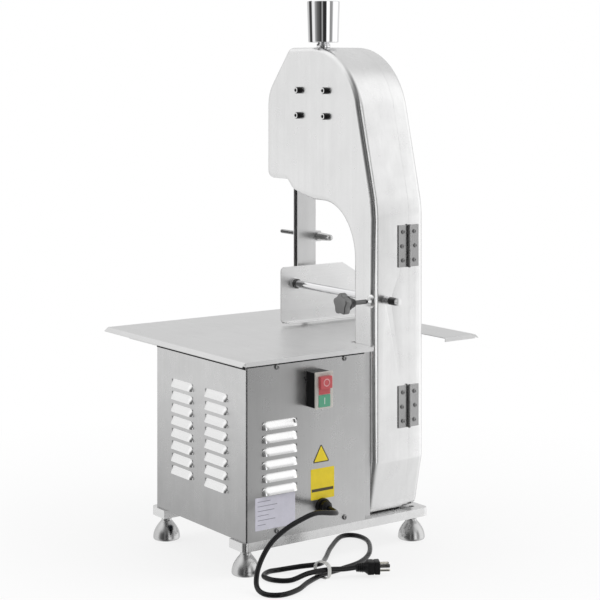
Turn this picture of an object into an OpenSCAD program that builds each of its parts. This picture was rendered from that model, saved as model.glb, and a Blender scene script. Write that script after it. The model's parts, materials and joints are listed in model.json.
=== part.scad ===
// Bench-top butcher's bone saw: a vertical band saw with a cast column, a motor box,
// a stainless table, a sliding thickness fence and a height-adjustable blade guard.
// X runs from the hinge side to the throat side, Y runs from the operator's side to the
// motor box, Z is up. The origin is on the bench, at the centre of the four feet.

/* [Base and feet] */
// Height of the levelling feet under the base
foot_h = 42.5; // [40:0.5:46]
// Diameter of a foot where it stands
foot_d = 48; // [44:1:52]
// Thickness of the base
base_t = 15; // [14:0.5:18]

/* [Motor box] */
// Width of the motor box, hinge side to throat side
box_w = 287; // [284:1:292]
// Depth of the motor box, back to front
box_d = 270; // [266:1:276]
// Height of the motor box
box_h = 300; // [298:1:304]

/* [Frame casting] */
// Width of the column
column_w = 60; // [59:1:62]
// Depth of the casting behind the door
casting_d = 81; // [80:0.5:83]
// Depth of the door
door_d = 36; // [35:0.5:38]
// Wall thickness of the casting and of the door
wall = 5; // [4.5:0.5:5.5]
// Radius of the rounded outer edge of the casting and of the door
edge_r = 12; // [9:1:13]

/* [Wheels and blade] */
// Diameter of the two band wheels
wheel_d = 256; // [252:1:257]
// Width of the wheel rims
wheel_w = 22; // [20:1:22]
// Height of the lower axle above the base
lower_axle_h = 150; // [148:1:152]
// Distance between the two axles
axle_gap = 542; // [541:1:543]
// Width of the blade band
band_w = 16; // [13:1:16]
// Thickness of the blade band
band_t = 0.6; // [0.5:0.1:0.7]

/* [Table] */
// Length of the table, hinge side to throat side
table_w = 476; // [460:1:500]
// Depth of the table, front to back
table_d = 524; // [510:1:540]
// Thickness of the table sheet
table_t = 1.5; // [1.5:0.1:2]

/* [Guard and fence] */
// Height of the guard's lower end above the table
guard_gap = 81; // [76:1:90]
// Thickness of the slice that the fence is set to
slice = 24; // [20:1:40]
// Height of the fence plate
fence_h = 107; // [100:1:110]
// Diameter of the fence rod
rod_d = 14; // [12:1:14]

/* [Hidden] */
$fn = 48;
hull_fn = 32;
run = 0.05;              // radial clearance of a running fit
seat = 0.02;             // radial clearance of a fixed fit

// Main planes
deck_z = foot_h + base_t;
side_x = -150;                       // hinge side of the box and of the column
rear_y = 195;                        // back of the motor box
back_y = rear_y - box_d;             // back of the casting
seam_y = back_y - casting_d;         // joint between casting and door
front_y = seam_y - door_d;           // front of the door
table_z = deck_z + box_h;            // underside of the table sheet

// Base
base_x0 = side_x;
base_x1 = 152;
base_y0 = front_y - 10;
base_y1 = rear_y + 4;
feet = [for (x = [-128, 129], y = [-180, 180]) [x, y]];
stud_r = 5;

// Wheels, blade and motor
wheel_r = wheel_d / 2;
wheel_x = side_x + 181;
wheel_y = seam_y + 7;                // middle plane of the wheels
low_z = deck_z + lower_axle_h;
up_z = low_z + axle_gap;
band_gap = 0.2;                      // gap that lets the wheels turn inside the fixed band
band_y = wheel_y + band_w / 2 - 1;   // rear edge of the band
blade_x = wheel_x + wheel_r + band_gap + band_t / 2;
shaft_r = 12.5;
motor_r = 75;
axle_r = 10;

// Tension slide
slide_y = -100;                      // plane of the tension screw and its block
bolt_pitch = [84, 47];
bolt_z = up_z + 35;
top_v = 830;                         // height of the casting above the base

// Guard
guard_w = 15;
guard_y1 = -128.5;
guard_y0 = -171;
guard_z0 = table_z + guard_gap;
guard_len = 205;
guide_rod_r = 3.5;
guide_rod_y = -165;
lock_y = -177;
lock_z = deck_z + 465;

// Fence
fence_x = blade_x - slice;           // face of the fence plate
fence_z0 = table_z + 6;
rod_y = -108;
rod_z = deck_z + 380.5;
rod_stub = 31;                       // rod beyond the hinge side of the column
lock_x = side_x + 10;

// Hinges
hinge_h = 75;
hinge_x = side_x - 4;
hinge_y = seam_y + 2;
hinge_r = 3.6;
pin_r = 2;
hinge_z = [deck_z + 151, deck_z + 437];
leaf_t = 2;

// Switch
switch_y = 52;
switch_z = deck_z + 244;
gland_y = 37;
gland_z = deck_z + 39;
cord_r = 4.25;

// ---- helpers ----

// A cylinder that runs from y towards the front
module pin_y(x, y, z, r, len) {
  translate([x, y, z])
    rotate([90, 0, 0])
      cylinder(r = r, h = len);
}

// A cylinder that runs from x towards the throat side
module pin_x(x, y, z, r, len) {
  translate([x, y, z])
    rotate([0, 90, 0])
      cylinder(r = r, h = len);
}

// A box given by two corners
module block(a, b) {
  translate(a)
    cube(b - a);
}

// A flat rectangle with round corners, its lower left corner at p
module rounded_rect(p, size, r) {
  translate(p) {
    translate([r, 0])
      square([size[0] - 2 * r, size[1]]);
    translate([0, r])
      square([size[0], size[1] - 2 * r]);
    for (x = [r, size[0] - r], y = [r, size[1] - r])
      translate([x, y])
        circle(r);
  }
}

// A low domed screw head on the hinge side, with its shank
module pan_screw(x, y, z, r, h, shank_r, len) {
  translate([x, y, z])
    rotate([0, -90, 0])
      rotate_extrude()
        intersection() {
          translate([0, h - 2 * r])
            circle(2 * r);
          square([r, h]);
        }
  pin_x(x, y, z, shank_r, len);
}

function unit(v) = v / norm(v);
function turned(v, a) = [v[0] * cos(a) - v[1] * sin(a), v[0] * sin(a) + v[1] * cos(a)];

// Points of the round corner of radius r at b, between a and c
function corner(a, b, c, r, n) =
  let (u = unit(a - b), v = unit(c - b), half = acos(u * v) / 2,
       mid = b + unit(u + v) * r / sin(half), p = b + u * r / tan(half) - mid,
       side = u[0] * v[1] - u[1] * v[0] < 0 ? 1 : -1)
  [for (i = [0 : n]) mid + turned(p, side * (180 - 2 * half) * i / n)];

// A closed outline from corners given as [x, y, radius, steps]
function outline(c) =
  let (n = len(c))
  [for (i = [0 : n - 1])
    let (a = c[(i + n - 1) % n], b = c[i], d = c[(i + 1) % n])
    each corner([a[0], a[1]], [b[0], b[1]], [d[0], d[1]], b[2], b[3])];

// The same outline moved inwards by d
function inset(pts, d) =
  let (n = len(pts))
  [for (i = [0 : n - 1])
    let (u = unit(pts[i] - pts[(i + n - 1) % n]), v = unit(pts[(i + 1) % n] - pts[i]),
         w = [-u[1] - v[1], u[0] + v[0]])
    pts[i] + w * d / (1 + u * v)];

// Outline of the casting: u from the hinge side, v up from the base
function casting_outline(foot) = outline([
  [20, foot, 14, 3],
  [285, foot, 14, 3],
  [333, 95, 60, 5],
  [333, 287.5, 18, 4],
  [column_w, 287.5, 8, 2],
  [column_w, 548, 98, 12],
  [185, 548, 60, 3],
  [251, 562.5, 25, 3],
  [269.5, 581, 12, 3],
  [333, 581, 14, 4],
  [333, 745, 70, 6],
  [262, top_v, 14, 4],
  [69.5, top_v, 140, 16],
  [0, 545, 150, 4],
  [0, 95, 30, 2]
]);

function span(a, b) = [for (i = [a : b]) i];

// The C shape of that outline cut into six fans, each given by its point numbers: the lower
// housing, the column, the crook, the neck, the shoulder and the nose
casting_fans = [
  concat([86, 87, 88], span(0, 19)),
  concat([86], span(19, 22), [85]),
  concat([85], span(22, 32)),
  concat([81], span(82, 85), span(32, 34)),
  concat([34], span(59, 81)),
  concat([59], span(34, 58))
];

// The casting's outline as a shell with one rounded edge, closed at depth 0, where it is inset
// by edge_r, and open at the other end
module rounded_shell(pts, depth) {
  steps = 5;
  n = len(pts);
  rings = [for (i = [0 : steps])
    let (a = 90 * i / steps)
    [inset(pts, edge_r * (1 - sin(a)) + 0.001), edge_r * (1 - cos(a))]];
  all = concat(rings, [[inset(pts, 0.001), depth], [inset(pts, wall), depth],
                       [inset(pts, wall), wall]]);
  last = len(all) - 1;
  points = [for (r = all) each [for (p = r[0]) [p[0], p[1], r[1]]]];
  sides = [for (k = [0 : last - 1]) each [for (i = [0 : n - 1])
    let (j = (i + 1) % n, a = k * n + i, b = k * n + j)
    each [[a, a + n, b + n], [a, b + n, b]]]];
  inner = [for (f = casting_fans)
    concat([last * n + f[0]], [for (i = [len(f) - 1 : -1 : 1]) last * n + f[i]])];
  polyhedron(points, concat(sides, casting_fans, inner));
}

// ---- base and feet ----

module base_plan(gap) {
  notch_x = 106;
  difference() {
    rounded_rect([base_x0 + gap, base_y0 + gap],
                 [base_x1 - base_x0 - 2 * gap, base_y1 - base_y0 - 2 * gap], 10);
    translate([-notch_x - gap, 150 - gap])
      square([2 * notch_x + 2 * gap, 100]);
  }
}

module base_frame() {
  skin = 4;
  boss_r = 20;
  color("gainsboro")
  difference() {
    translate([0, 0, foot_h])
      linear_extrude(base_t)
        base_plan(0);
    translate([0, 0, foot_h - 1])
      linear_extrude(base_t - skin + 1)
        difference() {
          base_plan(skin);
          for (p = feet)
            translate(p)
              circle(boss_r);
          for (p = frame_bolt_places)
            translate(p)
              circle(boss_r / 2 + 2);
        }
    for (p = feet)
      translate([p[0], p[1], foot_h - 1])
        cylinder(r = stud_r + seat, h = base_t + 2);
    for (p = frame_bolt_places)
      translate([p[0], p[1], foot_h - 1])
        cylinder(r = 4.2, h = base_t + 2);
  }
}

foot_neck_z = foot_h - 5;

module leveling_feet() {
  r = foot_d / 2;
  neck_r = 9;
  color("silver")
  for (p = feet)
    translate([p[0], p[1], 0])
      difference() {
        rotate_extrude()
          difference() {
            square([r, foot_neck_z]);
            translate([r + 3, foot_neck_z - 4])
              circle(r + 1.5 - neck_r);
            translate([neck_r, foot_neck_z - 8])
              square([r, 9]);
          }
        translate([0, 0, 16])
          cylinder(r = stud_r + run, h = foot_h);
      }
}

module foot_studs() {
  color("dimgray")
  for (p = feet)
    translate([p[0], p[1], 0]) {
      translate([0, 0, 18])
        cylinder(r = stud_r, h = deck_z - 20);
      translate([0, 0, foot_h - 4.5])
        cylinder(r = 9, h = 4.4, $fn = 6);
    }
}

frame_bolt_places = [for (x = [-112, 100], y = [-140, -88]) [x, y]];

module frame_bolts() {
  color("silver")
  for (p = frame_bolt_places)
    translate([p[0], p[1], 0]) {
      translate([0, 0, foot_h - 5.5])
        cylinder(r = 7.5, h = 5.5, $fn = 6);
      translate([0, 0, foot_h - 1])
        cylinder(r = 4, h = base_t + 5);
    }
}

// ---- motor box ----

sheet = 1.2;
louvre_len = 68;
louvre_pitch = 22;
box_x1 = side_x + box_w;

// One louvre: a pressed hood that opens downwards, standing out along +Y, centred on x
module louvre_skin(len, grow) {
  depth = 5.5;
  high = 11.5;
  rotate([90, 0, 90])
    translate([0, 0, -len / 2 - grow])
      linear_extrude(len + 2 * grow)
        polygon([[-grow, -grow], [depth + grow, -grow], [depth + grow, 2],
                 [depth * 0.7 + grow, 7], [-grow, high + 2 * grow]]);
}

module louvre_hood(len) {
  difference() {
    intersection() {
      louvre_skin(len, 1);
      translate([-len, 0, 0])
        cube([2 * len, 20, 20]);
    }
    translate([0, -1, -0.5])
      louvre_skin(len - 1, 0.01);
  }
}

module rear_louvre_places() {
  for (x = [-60, 50], i = [0 : 7])
    translate([x, rear_y, deck_z + 227 - i * louvre_pitch])
      children();
}

module rear_panel() {
  flange = 14;
  color("silver") {
    difference() {
      block([side_x, rear_y - sheet, deck_z], [box_x1, rear_y, table_z - 0.1]);
      rear_louvre_places()
        translate([0, -3, 0])
          louvre_slot(louvre_len);
    }
    rear_louvre_places()
      louvre_hood(louvre_len);
    for (x = [side_x + sheet + 0.2, box_x1 - 2 * sheet - 0.2])
      block([x, rear_y - flange, deck_z + 2], [x + sheet, rear_y - sheet, table_z - 2]);
  }
}

// The slot behind a louvre, cut along Y
module louvre_slot(len) {
  translate([-len / 2 + 2, 0, 0.5])
    cube([len - 4, 6, 6]);
}

module side_louvre_places() {
  for (i = [0 : 5])
    translate([side_x, rear_y - 69, deck_z + 185 - i * louvre_pitch])
      rotate([0, 0, 90])
        children();
}

side_screws = [for (y = [rear_y - 63.3, rear_y - 206.6], z = [deck_z + 12, deck_z + 288])
  [y, z]];

module side_panel() {
  cut_w = 28;
  cut_h = 50;
  step_y = back_y + 19;              // the sheet steps inwards here, ahead of the casting
  step_x = side_x + 9;
  end_y = rear_y - sheet - 2.2;      // an open joint at the box's corner
  top = table_z - 0.1;
  color("silver") {
    difference() {
      union() {
        block([side_x, step_y, deck_z], [side_x + sheet, end_y, top]);
        block([side_x, step_y, deck_z], [step_x + sheet, step_y + sheet, top]);
        block([step_x, back_y + 0.1, deck_z], [step_x + sheet, step_y + sheet, top]);
      }
      side_louvre_places()
        translate([0, -3, 0])
          louvre_slot(louvre_len + 2);
      block([side_x - 1, switch_y - cut_w / 2, switch_z - cut_h / 2],
            [side_x + 3, switch_y + cut_w / 2, switch_z + cut_h / 2]);
      pin_x(side_x - 1, gland_y, gland_z, 10.1, 4);
      for (s = side_screws)
        pin_x(side_x - 1, s[0], s[1], 2 + run, 4);
    }
    side_louvre_places()
      louvre_hood(louvre_len + 2);
  }
}

module throat_panel() {
  color("silver")
  difference() {
    block([box_x1 - sheet, back_y + 0.1, deck_z], [box_x1, rear_y - sheet - 0.2, table_z - 0.1]);
    for (s = side_screws)
      pin_x(box_x1 - 3, s[0], s[1], 2 + run, 4);
  }
}

module rail(x, z, dx, dz) {
  leg = 20;
  t = 1.5;
  y0 = back_y + 22;
  y1 = rear_y - 16;
  block([min(x, x + dx * leg), y0, min(z, z + dz * t)],
        [max(x, x + dx * leg), y1, max(z, z + dz * t)]);
  block([min(x, x + dx * t), y0, min(z, z + dz * leg)],
        [max(x, x + dx * t), y1, max(z, z + dz * leg)]);
}

module box_rails() {
  color("lightgray")
  difference() {
    for (x = [[side_x + sheet + 0.05, 1], [box_x1 - sheet - 0.05, -1]],
         z = [[deck_z, 1], [table_z - 0.1, -1]])
      rail(x[0], z[0], x[1], z[1]);
    for (s = side_screws) {
      pin_x(side_x, s[0], s[1], 2 + run, 6);
      pin_x(box_x1 - 6, s[0], s[1], 2 + run, 6);
    }
  }
}

module panel_screws() {
  color("silver")
  for (s = side_screws) {
    pan_screw(side_x, s[0], s[1], 4.8, 2.8, 2, 5);
    translate([box_x1, s[0], s[1]])
      rotate([0, 0, 180])
        pan_screw(0, 0, 0, 4.8, 2.8, 2, 5);
  }
}

// ---- casting ----

module guard_notch() {
  gap = 1.5;
  block([blade_x - guard_w / 2 - gap, guard_y0 - gap, deck_z + 570],
        [blade_x + guard_w / 2 + gap, guard_y1 + gap, deck_z + 600]);
}

module band_slot() {
  block([blade_x - 4, band_y - band_w - 6, table_z - 20],
        [blade_x + 4, band_y + 4, table_z - 8]);
}

// Holes for the hinge screws: side is 1 for the frame, -1 for the door
module screw_holes(side) {
  for (h = hinge_z, i = [0 : 2])
    pin_x(side_x - 1, hinge_y + side * (hinge_row_y + hinge_stagger[i]), h + hinge_rows[i],
          2 + run, wall + 3);
}

module frame_casting() {
  color("gainsboro")
  difference() {
    union() {
      translate([side_x, back_y, deck_z])
        rotate([90, 0, 0])
          rounded_shell(casting_outline(0), casting_d);
      pin_x(side_x + 1, rod_y, rod_z, 13, column_w - 2);
      pin_y(lock_x, back_y + 1, rod_z, 8, 30);
      translate([wheel_x, slide_y, deck_z + top_v - 16])
        cylinder(r = 17, h = 15);
      pin_y(wheel_x, back_y - 2, low_z, 40, 9);
    }
    pin_x(side_x - 1, rod_y, rod_z, rod_d / 2 + run, column_w + 2);
    pin_y(lock_x, back_y + 2, rod_z, 4 + run, 30);
    translate([wheel_x, slide_y, deck_z + top_v - 20])
      cylinder(r = 10 + seat, h = 30);
    pin_y(wheel_x, back_y + 1, low_z, shaft_r + 2, 20);
    for (x = [-1, 1], z = [-1, 1])
      pin_y(wheel_x + x * bolt_pitch[0] / 2, back_y + 1, bolt_z + z * bolt_pitch[1] / 2,
            4.1, wall + 2);
    for (a = [45 : 90 : 315])
      pin_y(wheel_x + 65 * cos(a), back_y + 1, low_z + 65 * sin(a), 4.1, wall + 2);
    for (p = frame_bolt_places)
      translate([p[0], p[1], deck_z - 1])
        cylinder(r = 4.1, h = wall + 2);
    guard_notch();
    band_slot();
    screw_holes(1);
    pin_x(side_x + 333 - wall - 1, latch_y, latch_z, 3 + run, wall + 2);
  }
}

module head_bolts() {
  color("silver")
  for (x = [-1, 1], z = [-1, 1])
    translate([wheel_x + x * bolt_pitch[0] / 2, back_y, bolt_z + z * bolt_pitch[1] / 2])
      rotate([90, 0, 0]) {
        translate([0, 0, -9])
          cylinder(r = 6, h = 9);
        translate([0, 0, -0.1])
          cylinder(r = 4, h = 28);
      }
}

// ---- table ----

slot_w = 3;
insert_r = [23, 50];

module table_plan() {
  difference() {
    translate([side_x - 2, rear_y + 9 - table_d])
      square([table_w, table_d]);
    translate([side_x - 3, seam_y + 1 - 84])
      square([69, back_y - seam_y + 84 - 0.5]);
    translate([blade_x - insert_r[0] / 2, band_y - band_w / 2 - insert_r[1] / 2])
      square(insert_r);
    translate([blade_x - slot_w / 2, rear_y - table_d])
      square([slot_w, table_d + band_y - band_w - rear_y]);
  }
}

// A sloping rim along +X that starts at the sheet's edge
module rim(len) {
  wide = 8;
  drop = 6;
  rotate([90, 0, 90])
    linear_extrude(len)
      polygon([[-wide, 0], [-wide, table_t], [-wide + 0.6, table_t], [0, -drop + table_t],
               [0, -drop], [-wide + 0.4, 0]]);
}

module table_plate() {
  wide = 8;
  x0 = side_x - 2;
  y1 = rear_y + 9;
  color("silver")
  union() {
    translate([0, 0, table_z])
      linear_extrude(table_t)
        intersection() {
          table_plan();
          translate([x0, y1 - table_d + wide])
            square([table_w - wide, table_d - 2 * wide]);
        }
    translate([x0, y1, table_z])
      rim(table_w - wide);
    translate([x0 + table_w, y1 - wide, table_z])
      rotate([0, 0, -90])
        rim(table_d - 2 * wide);
    translate([x0 + table_w - wide, y1 - table_d, table_z])
      rotate([0, 0, 180])
        difference() {
          rim(table_w - wide);
          translate([x0 + table_w - wide - blade_x - slot_w / 2, -20, -10])
            cube([slot_w, 30, 20]);
        }
    block([x0, back_y + 0.5, table_z - 6], [x0 + 1.5, y1 - wide, table_z + 0.1]);
    block([x0, y1 - table_d + wide, table_z - 6], [x0 + 1.5, seam_y - 84, table_z + 0.1]);
  }
}

module table_ribs() {
  t = 3;
  h = 24;
  color("lightgray") {
    for (y = [150, -40])
      block([box_x1 + 0.1, y, table_z - h], [side_x - 2 + table_w - 12, y + t, table_z]);
    block([box_x1 + 110, -290, table_z - h / 2], [box_x1 + 110 + t, 180, table_z]);
  }
}

module blade_insert() {
  gap = 0.3;
  color("whitesmoke")
  difference() {
    translate([blade_x - insert_r[0] / 2 + gap, band_y - band_w / 2 - insert_r[1] / 2 + gap,
               table_z + 0.1])
      cube([insert_r[0] - 2 * gap, insert_r[1] - 2 * gap, table_t - 0.1]);
    translate([blade_x - slot_w / 2, band_y - band_w - 30, table_z - 1])
      cube([slot_w, band_w + 32, 5]);
  }
}

// ---- motor ----

bell_y = back_y + 30;                // rear face of the front bell
motor_len = 150;
bearing_w = 15;
bearing_r = 26;

module motor_housing() {
  color("slategray")
  difference() {
    pin_y(wheel_x, bell_y + motor_len, low_z, motor_r, motor_len);
    pin_y(wheel_x, bell_y + motor_len + 1, low_z, 45, motor_len + 2);
    pin_y(wheel_x, bell_y + motor_len + 1, low_z, 68, 30);
    pin_y(wheel_x, bell_y + 29, low_z, 68, 30);
  }
}

module motor_end_bells() {
  color("gray") {
    difference() {
      union() {
        pin_y(wheel_x, back_y + 12, low_z, 80, 12);
        pin_y(wheel_x, bell_y, low_z, 74, 19);
      }
      pin_y(wheel_x, bell_y + 1, low_z, bearing_r + seat, bearing_w + 1);
      pin_y(wheel_x, bell_y + 1, low_z, shaft_r + 3, 40);
      for (a = [45 : 90 : 315])
        pin_y(wheel_x + 65 * cos(a), back_y + 13, low_z + 65 * sin(a), 4 + seat, 14);
    }
    difference() {
      pin_y(wheel_x, bell_y + motor_len + 18, low_z, 74, 18);
      pin_y(wheel_x, bell_y + motor_len + bearing_w, low_z, bearing_r + seat, bearing_w + 1);
      pin_y(wheel_x, bell_y + motor_len + 19, low_z, shaft_r + 3, 40);
    }
  }
}

module fan_cowl() {
  y = bell_y + motor_len + 18;
  color("dimgray")
  difference() {
    pin_y(wheel_x, y + 36, low_z, 73, 36);
    pin_y(wheel_x, y + 34.5, low_z, 71.5, 36);
    for (a = [0 : 30 : 330], r = [28, 48])
      pin_y(wheel_x + r * cos(a), y + 40, low_z + r * sin(a), 4, 10);
  }
}

module motor_bearings() {
  color("silver")
  for (y = [bell_y, bell_y + motor_len + bearing_w])
    difference() {
      pin_y(wheel_x, y, low_z, bearing_r, bearing_w);
      pin_y(wheel_x, y + 1, low_z, shaft_r + run, bearing_w + 2);
    }
}

module motor_bolts() {
  color("dimgray")
  for (a = [45 : 90 : 315])
    translate([wheel_x + 65 * cos(a), back_y - wall - 6, low_z + 65 * sin(a)])
      rotate([-90, 0, 0]) {
        cylinder(r = 6.5, h = 5.9, $fn = 6);
        translate([0, 0, 5])
          cylinder(r = 4, h = 12);
      }
}

module capacitor() {
  color("gainsboro") {
    pin_y(wheel_x - 92, 120, low_z + 92, 20, 90);
    block([wheel_x - 94, 40, low_z + 70], [wheel_x - 60, 60, low_z + 76]);
    block([wheel_x - 64, 40, low_z + 48], [wheel_x - 60, 60, low_z + 76]);
  }
}

module motor_rotor() {
  shaft_y = bell_y + motor_len + 46;
  color("darkgray")
  difference() {
    union() {
      pin_y(wheel_x, shaft_y, low_z, shaft_r, shaft_y - wheel_y + wheel_w / 2);
      pin_y(wheel_x, bell_y + motor_len - 32, low_z, 44.5, motor_len - 64);
    }
    translate([wheel_x - 4 - seat, wheel_y - 20, low_z + shaft_r - 4])
      cube([8 + 2 * seat, 36, 6]);
    pin_y(wheel_x, wheel_y, low_z, 4 + seat, 60);
  }
}

module motor_fan() {
  y = bell_y + motor_len + 44;
  blade_len = 44;
  color("dimgray")
  difference() {
    union() {
      pin_y(wheel_x, y, low_z, 22, 22);
      translate([wheel_x, y, low_z])
        for (a = [0 : 60 : 300])
          rotate([0, a, 0])
            translate([16, -22, -1.5])
              cube([blade_len, 22, 3]);
    }
    pin_y(wheel_x, y + 1, low_z, shaft_r + seat, 24);
  }
}

// ---- wheels and blade ----

// A spoked band wheel: rim, rear flange, web with round openings and a hub
module band_wheel(z, bore_r, hub_w) {
  flange = 1.5;
  hub_r = 32;
  web = 9;
  difference() {
    union() {
      pin_y(wheel_x, wheel_y + wheel_w / 2, z, wheel_r, wheel_w);
      pin_y(wheel_x, wheel_y + wheel_w / 2, z, wheel_r + flange, 1.8);
      pin_y(wheel_x, wheel_y + hub_w / 2, z, hub_r, hub_w);
    }
    for (s = [0, 1])
      difference() {
        pin_y(wheel_x, wheel_y - web / 2 + s * (web + 10), z, wheel_r - 11, 10);
        pin_y(wheel_x, wheel_y + hub_w, z, hub_r, 2 * hub_w);
      }
    for (a = [0 : 60 : 300])
      pin_y(wheel_x + 76 * cos(a), wheel_y + 30, z + 76 * sin(a), 25, 60);
    pin_y(wheel_x, wheel_y + hub_w, z, bore_r, 2 * hub_w);
  }
}

module lower_wheel() {
  color("lightgray")
  difference() {
    band_wheel(low_z, shaft_r + seat, 34);
    translate([wheel_x - 4 - seat, wheel_y - 30, low_z])
      cube([8 + 2 * seat, 60, shaft_r + 3.2]);
  }
}

module upper_wheel() {
  color("lightgray")
    band_wheel(up_z, 23.5 + seat, 34);
}

module upper_bearings() {
  color("silver")
  for (y = [wheel_y + 16, wheel_y - 2])
    difference() {
      pin_y(wheel_x, y, up_z, 23.5, 14);
      pin_y(wheel_x, y + 1, up_z, axle_r + run, 16);
    }
}

module wheel_key() {
  color("gray")
    translate([wheel_x - 4, wheel_y - 15, low_z + shaft_r - 3.9])
      cube([8, 30, 6.9]);
}

module wheel_bolt() {
  y = wheel_y - 17;
  color("dimgray") {
    difference() {
      pin_y(wheel_x, y, low_z, 20, 4);
      pin_y(wheel_x, y + 1, low_z, 4 + seat, 8);
    }
    translate([wheel_x, y - 4, low_z])
      rotate([90, 0, 0])
        cylinder(r = 7, h = 6, $fn = 6);
    pin_y(wheel_x, y + 14, low_z, 4, 19);
  }
}

module loop_plan(r) {
  circle(r);
  translate([0, axle_gap])
    circle(r);
  translate([-r, 0])
    square([2 * r, axle_gap]);
}

module saw_blade() {
  inner = wheel_r + band_gap;
  color("darkgray")
  translate([wheel_x, band_y, low_z])
    rotate([90, 0, 0])
      linear_extrude(band_w)
        difference() {
          loop_plan(inner + band_t);
          loop_plan(inner);
        }
}

// ---- blade tension ----

guide_half = 30;
guide_out = 54;

module tension_guide() {
  z0 = up_z - 44;
  z1 = up_z + 84;
  y0 = back_y - wall;
  lip = 6;
  color("gray")
  difference() {
    union() {
      block([wheel_x - guide_out, y0 - 8, z0], [wheel_x + guide_out, y0, z1]);
      for (s = [-1, 1]) {
        block([wheel_x + min(s * guide_half, s * guide_out), y0 - 36, z0],
              [wheel_x + max(s * guide_half, s * guide_out), y0 - 8, z1]);
        block([wheel_x + min(s * (guide_half - lip), s * guide_out), y0 - 36, z0],
              [wheel_x + max(s * (guide_half - lip), s * guide_out), y0 - 28.1, z1]);
      }
    }
    for (x = [-1, 1], z = [-1, 1])
      pin_y(wheel_x + x * bolt_pitch[0] / 2, y0 + 1, bolt_z + z * bolt_pitch[1] / 2,
            4 + run, 26);
  }
}

module tension_block() {
  y0 = back_y - wall - 8.1;
  z0 = up_z - 28;
  z1 = up_z + 52;
  color("silver")
  difference() {
    union() {
      block([wheel_x - guide_half + 0.1, y0 - 19.8, z0], [wheel_x + guide_half - 0.1, y0, z1]);
      block([wheel_x - guide_half + 6.1, y0 - 32, z0], [wheel_x + guide_half - 6.1, y0 - 19, z1]);
    }
    pin_y(wheel_x, y0 + 1, up_z, axle_r + seat, 40);
    translate([wheel_x, slide_y, up_z + 14])
      cylinder(r = 6 + run, h = 60);
  }
}

module upper_axle() {
  y0 = back_y - wall - 9;
  hub_y = wheel_y + 17;
  color("darkgray") {
    pin_y(wheel_x, y0, up_z, axle_r, y0 - wheel_y + 29);
    difference() {
      pin_y(wheel_x, hub_y + 8, up_z, 14, 7.5);
      pin_y(wheel_x, hub_y + 9, up_z, axle_r - 0.5, 10);
    }
    difference() {
      translate([wheel_x, wheel_y - 17.5, up_z])
        rotate([90, 0, 0])
          cylinder(r = 15, h = 9, $fn = 6);
      pin_y(wheel_x, wheel_y, up_z, axle_r + seat, 40);
    }
  }
}

module tension_bush() {
  color("silver")
  difference() {
    translate([wheel_x, slide_y, 0]) {
      translate([0, 0, deck_z + top_v - 16])
        cylinder(r = 10, h = 17);
      translate([0, 0, deck_z + top_v])
        cylinder(r = 13, h = 3);
    }
    translate([wheel_x, slide_y, deck_z + top_v - 30])
      cylinder(r = 6 + run, h = 50);
  }
}

knob_z = deck_z + top_v + 9.5;
knob_h = 76.5;
knob_r = 30.5;

module tension_knob() {
  neck_r = 13;
  color("lightgray")
  translate([wheel_x, slide_y, 0])
    difference() {
      rotate_extrude()
        union() {
          polygon([[0, knob_z], [knob_r - 2.8, knob_z], [knob_r - 1, knob_z + 2],
                   [knob_r, knob_z + knob_h - 2], [knob_r - 2, knob_z + knob_h],
                   [0, knob_z + knob_h]]);
          translate([0, deck_z + top_v + 3.2])
            square([neck_r - 2, knob_z - deck_z - top_v]);
          polygon([[0, knob_z - 3], [neck_r - 2, knob_z - 3], [neck_r + 2, knob_z + 0.5],
                   [0, knob_z + 0.5]]);
        }
      translate([0, 0, deck_z + top_v])
        cylinder(r = 6 + seat, h = 50);
    }
}

module tension_screw() {
  color("gray")
  translate([wheel_x, slide_y, 0]) {
    translate([0, 0, up_z + 17])
      cylinder(r = 6, h = deck_z + top_v + 45 - up_z - 17);
    translate([0, 0, deck_z + top_v - 22])
      cylinder(r = 9.5, h = 5.9);
  }
}

// ---- hinges ----

hinge_rows = [12, 37.5, 63];         // heights of the screws in a leaf
hinge_row_y = 13;                    // distance of the screws from the pin
hinge_stagger = [0, 2, 0];

// One leaf: side is 1 for the frame, -1 for the door
module hinge_leaf(z, side) {
  reach = 23;
  gap = hinge_r + 0.2;
  seg = hinge_h / 5;
  own = side > 0 ? [0, 2, 4] : [1, 3];
  y0 = hinge_y + side * gap;
  y1 = hinge_y + side * reach;
  difference() {
    union() {
      block([side_x - leaf_t, min(y0, y1), z], [side_x, max(y0, y1), z + hinge_h]);
      for (k = own) {
        translate([hinge_x, hinge_y, z + k * seg + 0.15])
          cylinder(r = hinge_r, h = seg - 0.3);
        block([side_x - leaf_t, min(hinge_y, y0), z + k * seg + 0.15],
              [side_x - 0.4, max(hinge_y, y0), z + (k + 1) * seg - 0.15]);
      }
    }
    translate([hinge_x, hinge_y, z - 1])
      cylinder(r = pin_r + run, h = hinge_h + 2);
    for (i = [0 : 2])
      pin_x(side_x - 5, hinge_y + side * (hinge_row_y + hinge_stagger[i]), z + hinge_rows[i],
            2 + run, 10);
  }
}

module frame_hinge_leaves() {
  color("silver")
  for (z = hinge_z)
    hinge_leaf(z, 1);
}

module door_hinge_leaves() {
  color("silver")
  for (z = hinge_z)
    hinge_leaf(z, -1);
}

module hinge_pins() {
  color("dimgray")
  for (z = hinge_z)
    translate([hinge_x, hinge_y, z - 1])
      cylinder(r = pin_r, h = hinge_h + 2);
}

module hinge_screws(side) {
  for (z = hinge_z, i = [0 : 2])
    pan_screw(side_x - leaf_t, hinge_y + side * (hinge_row_y + hinge_stagger[i]),
              z + hinge_rows[i], 3.9, 2.2, 2, wall + 1);
}

module frame_hinge_screws() {
  color("silver")
    hinge_screws(1);
}

module door_hinge_screws() {
  color("silver")
    hinge_screws(-1);
}

// ---- door and latch ----

latch_y = seam_y + 16;
latch_z = deck_z + 662;
latch_reach = 28;

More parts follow.
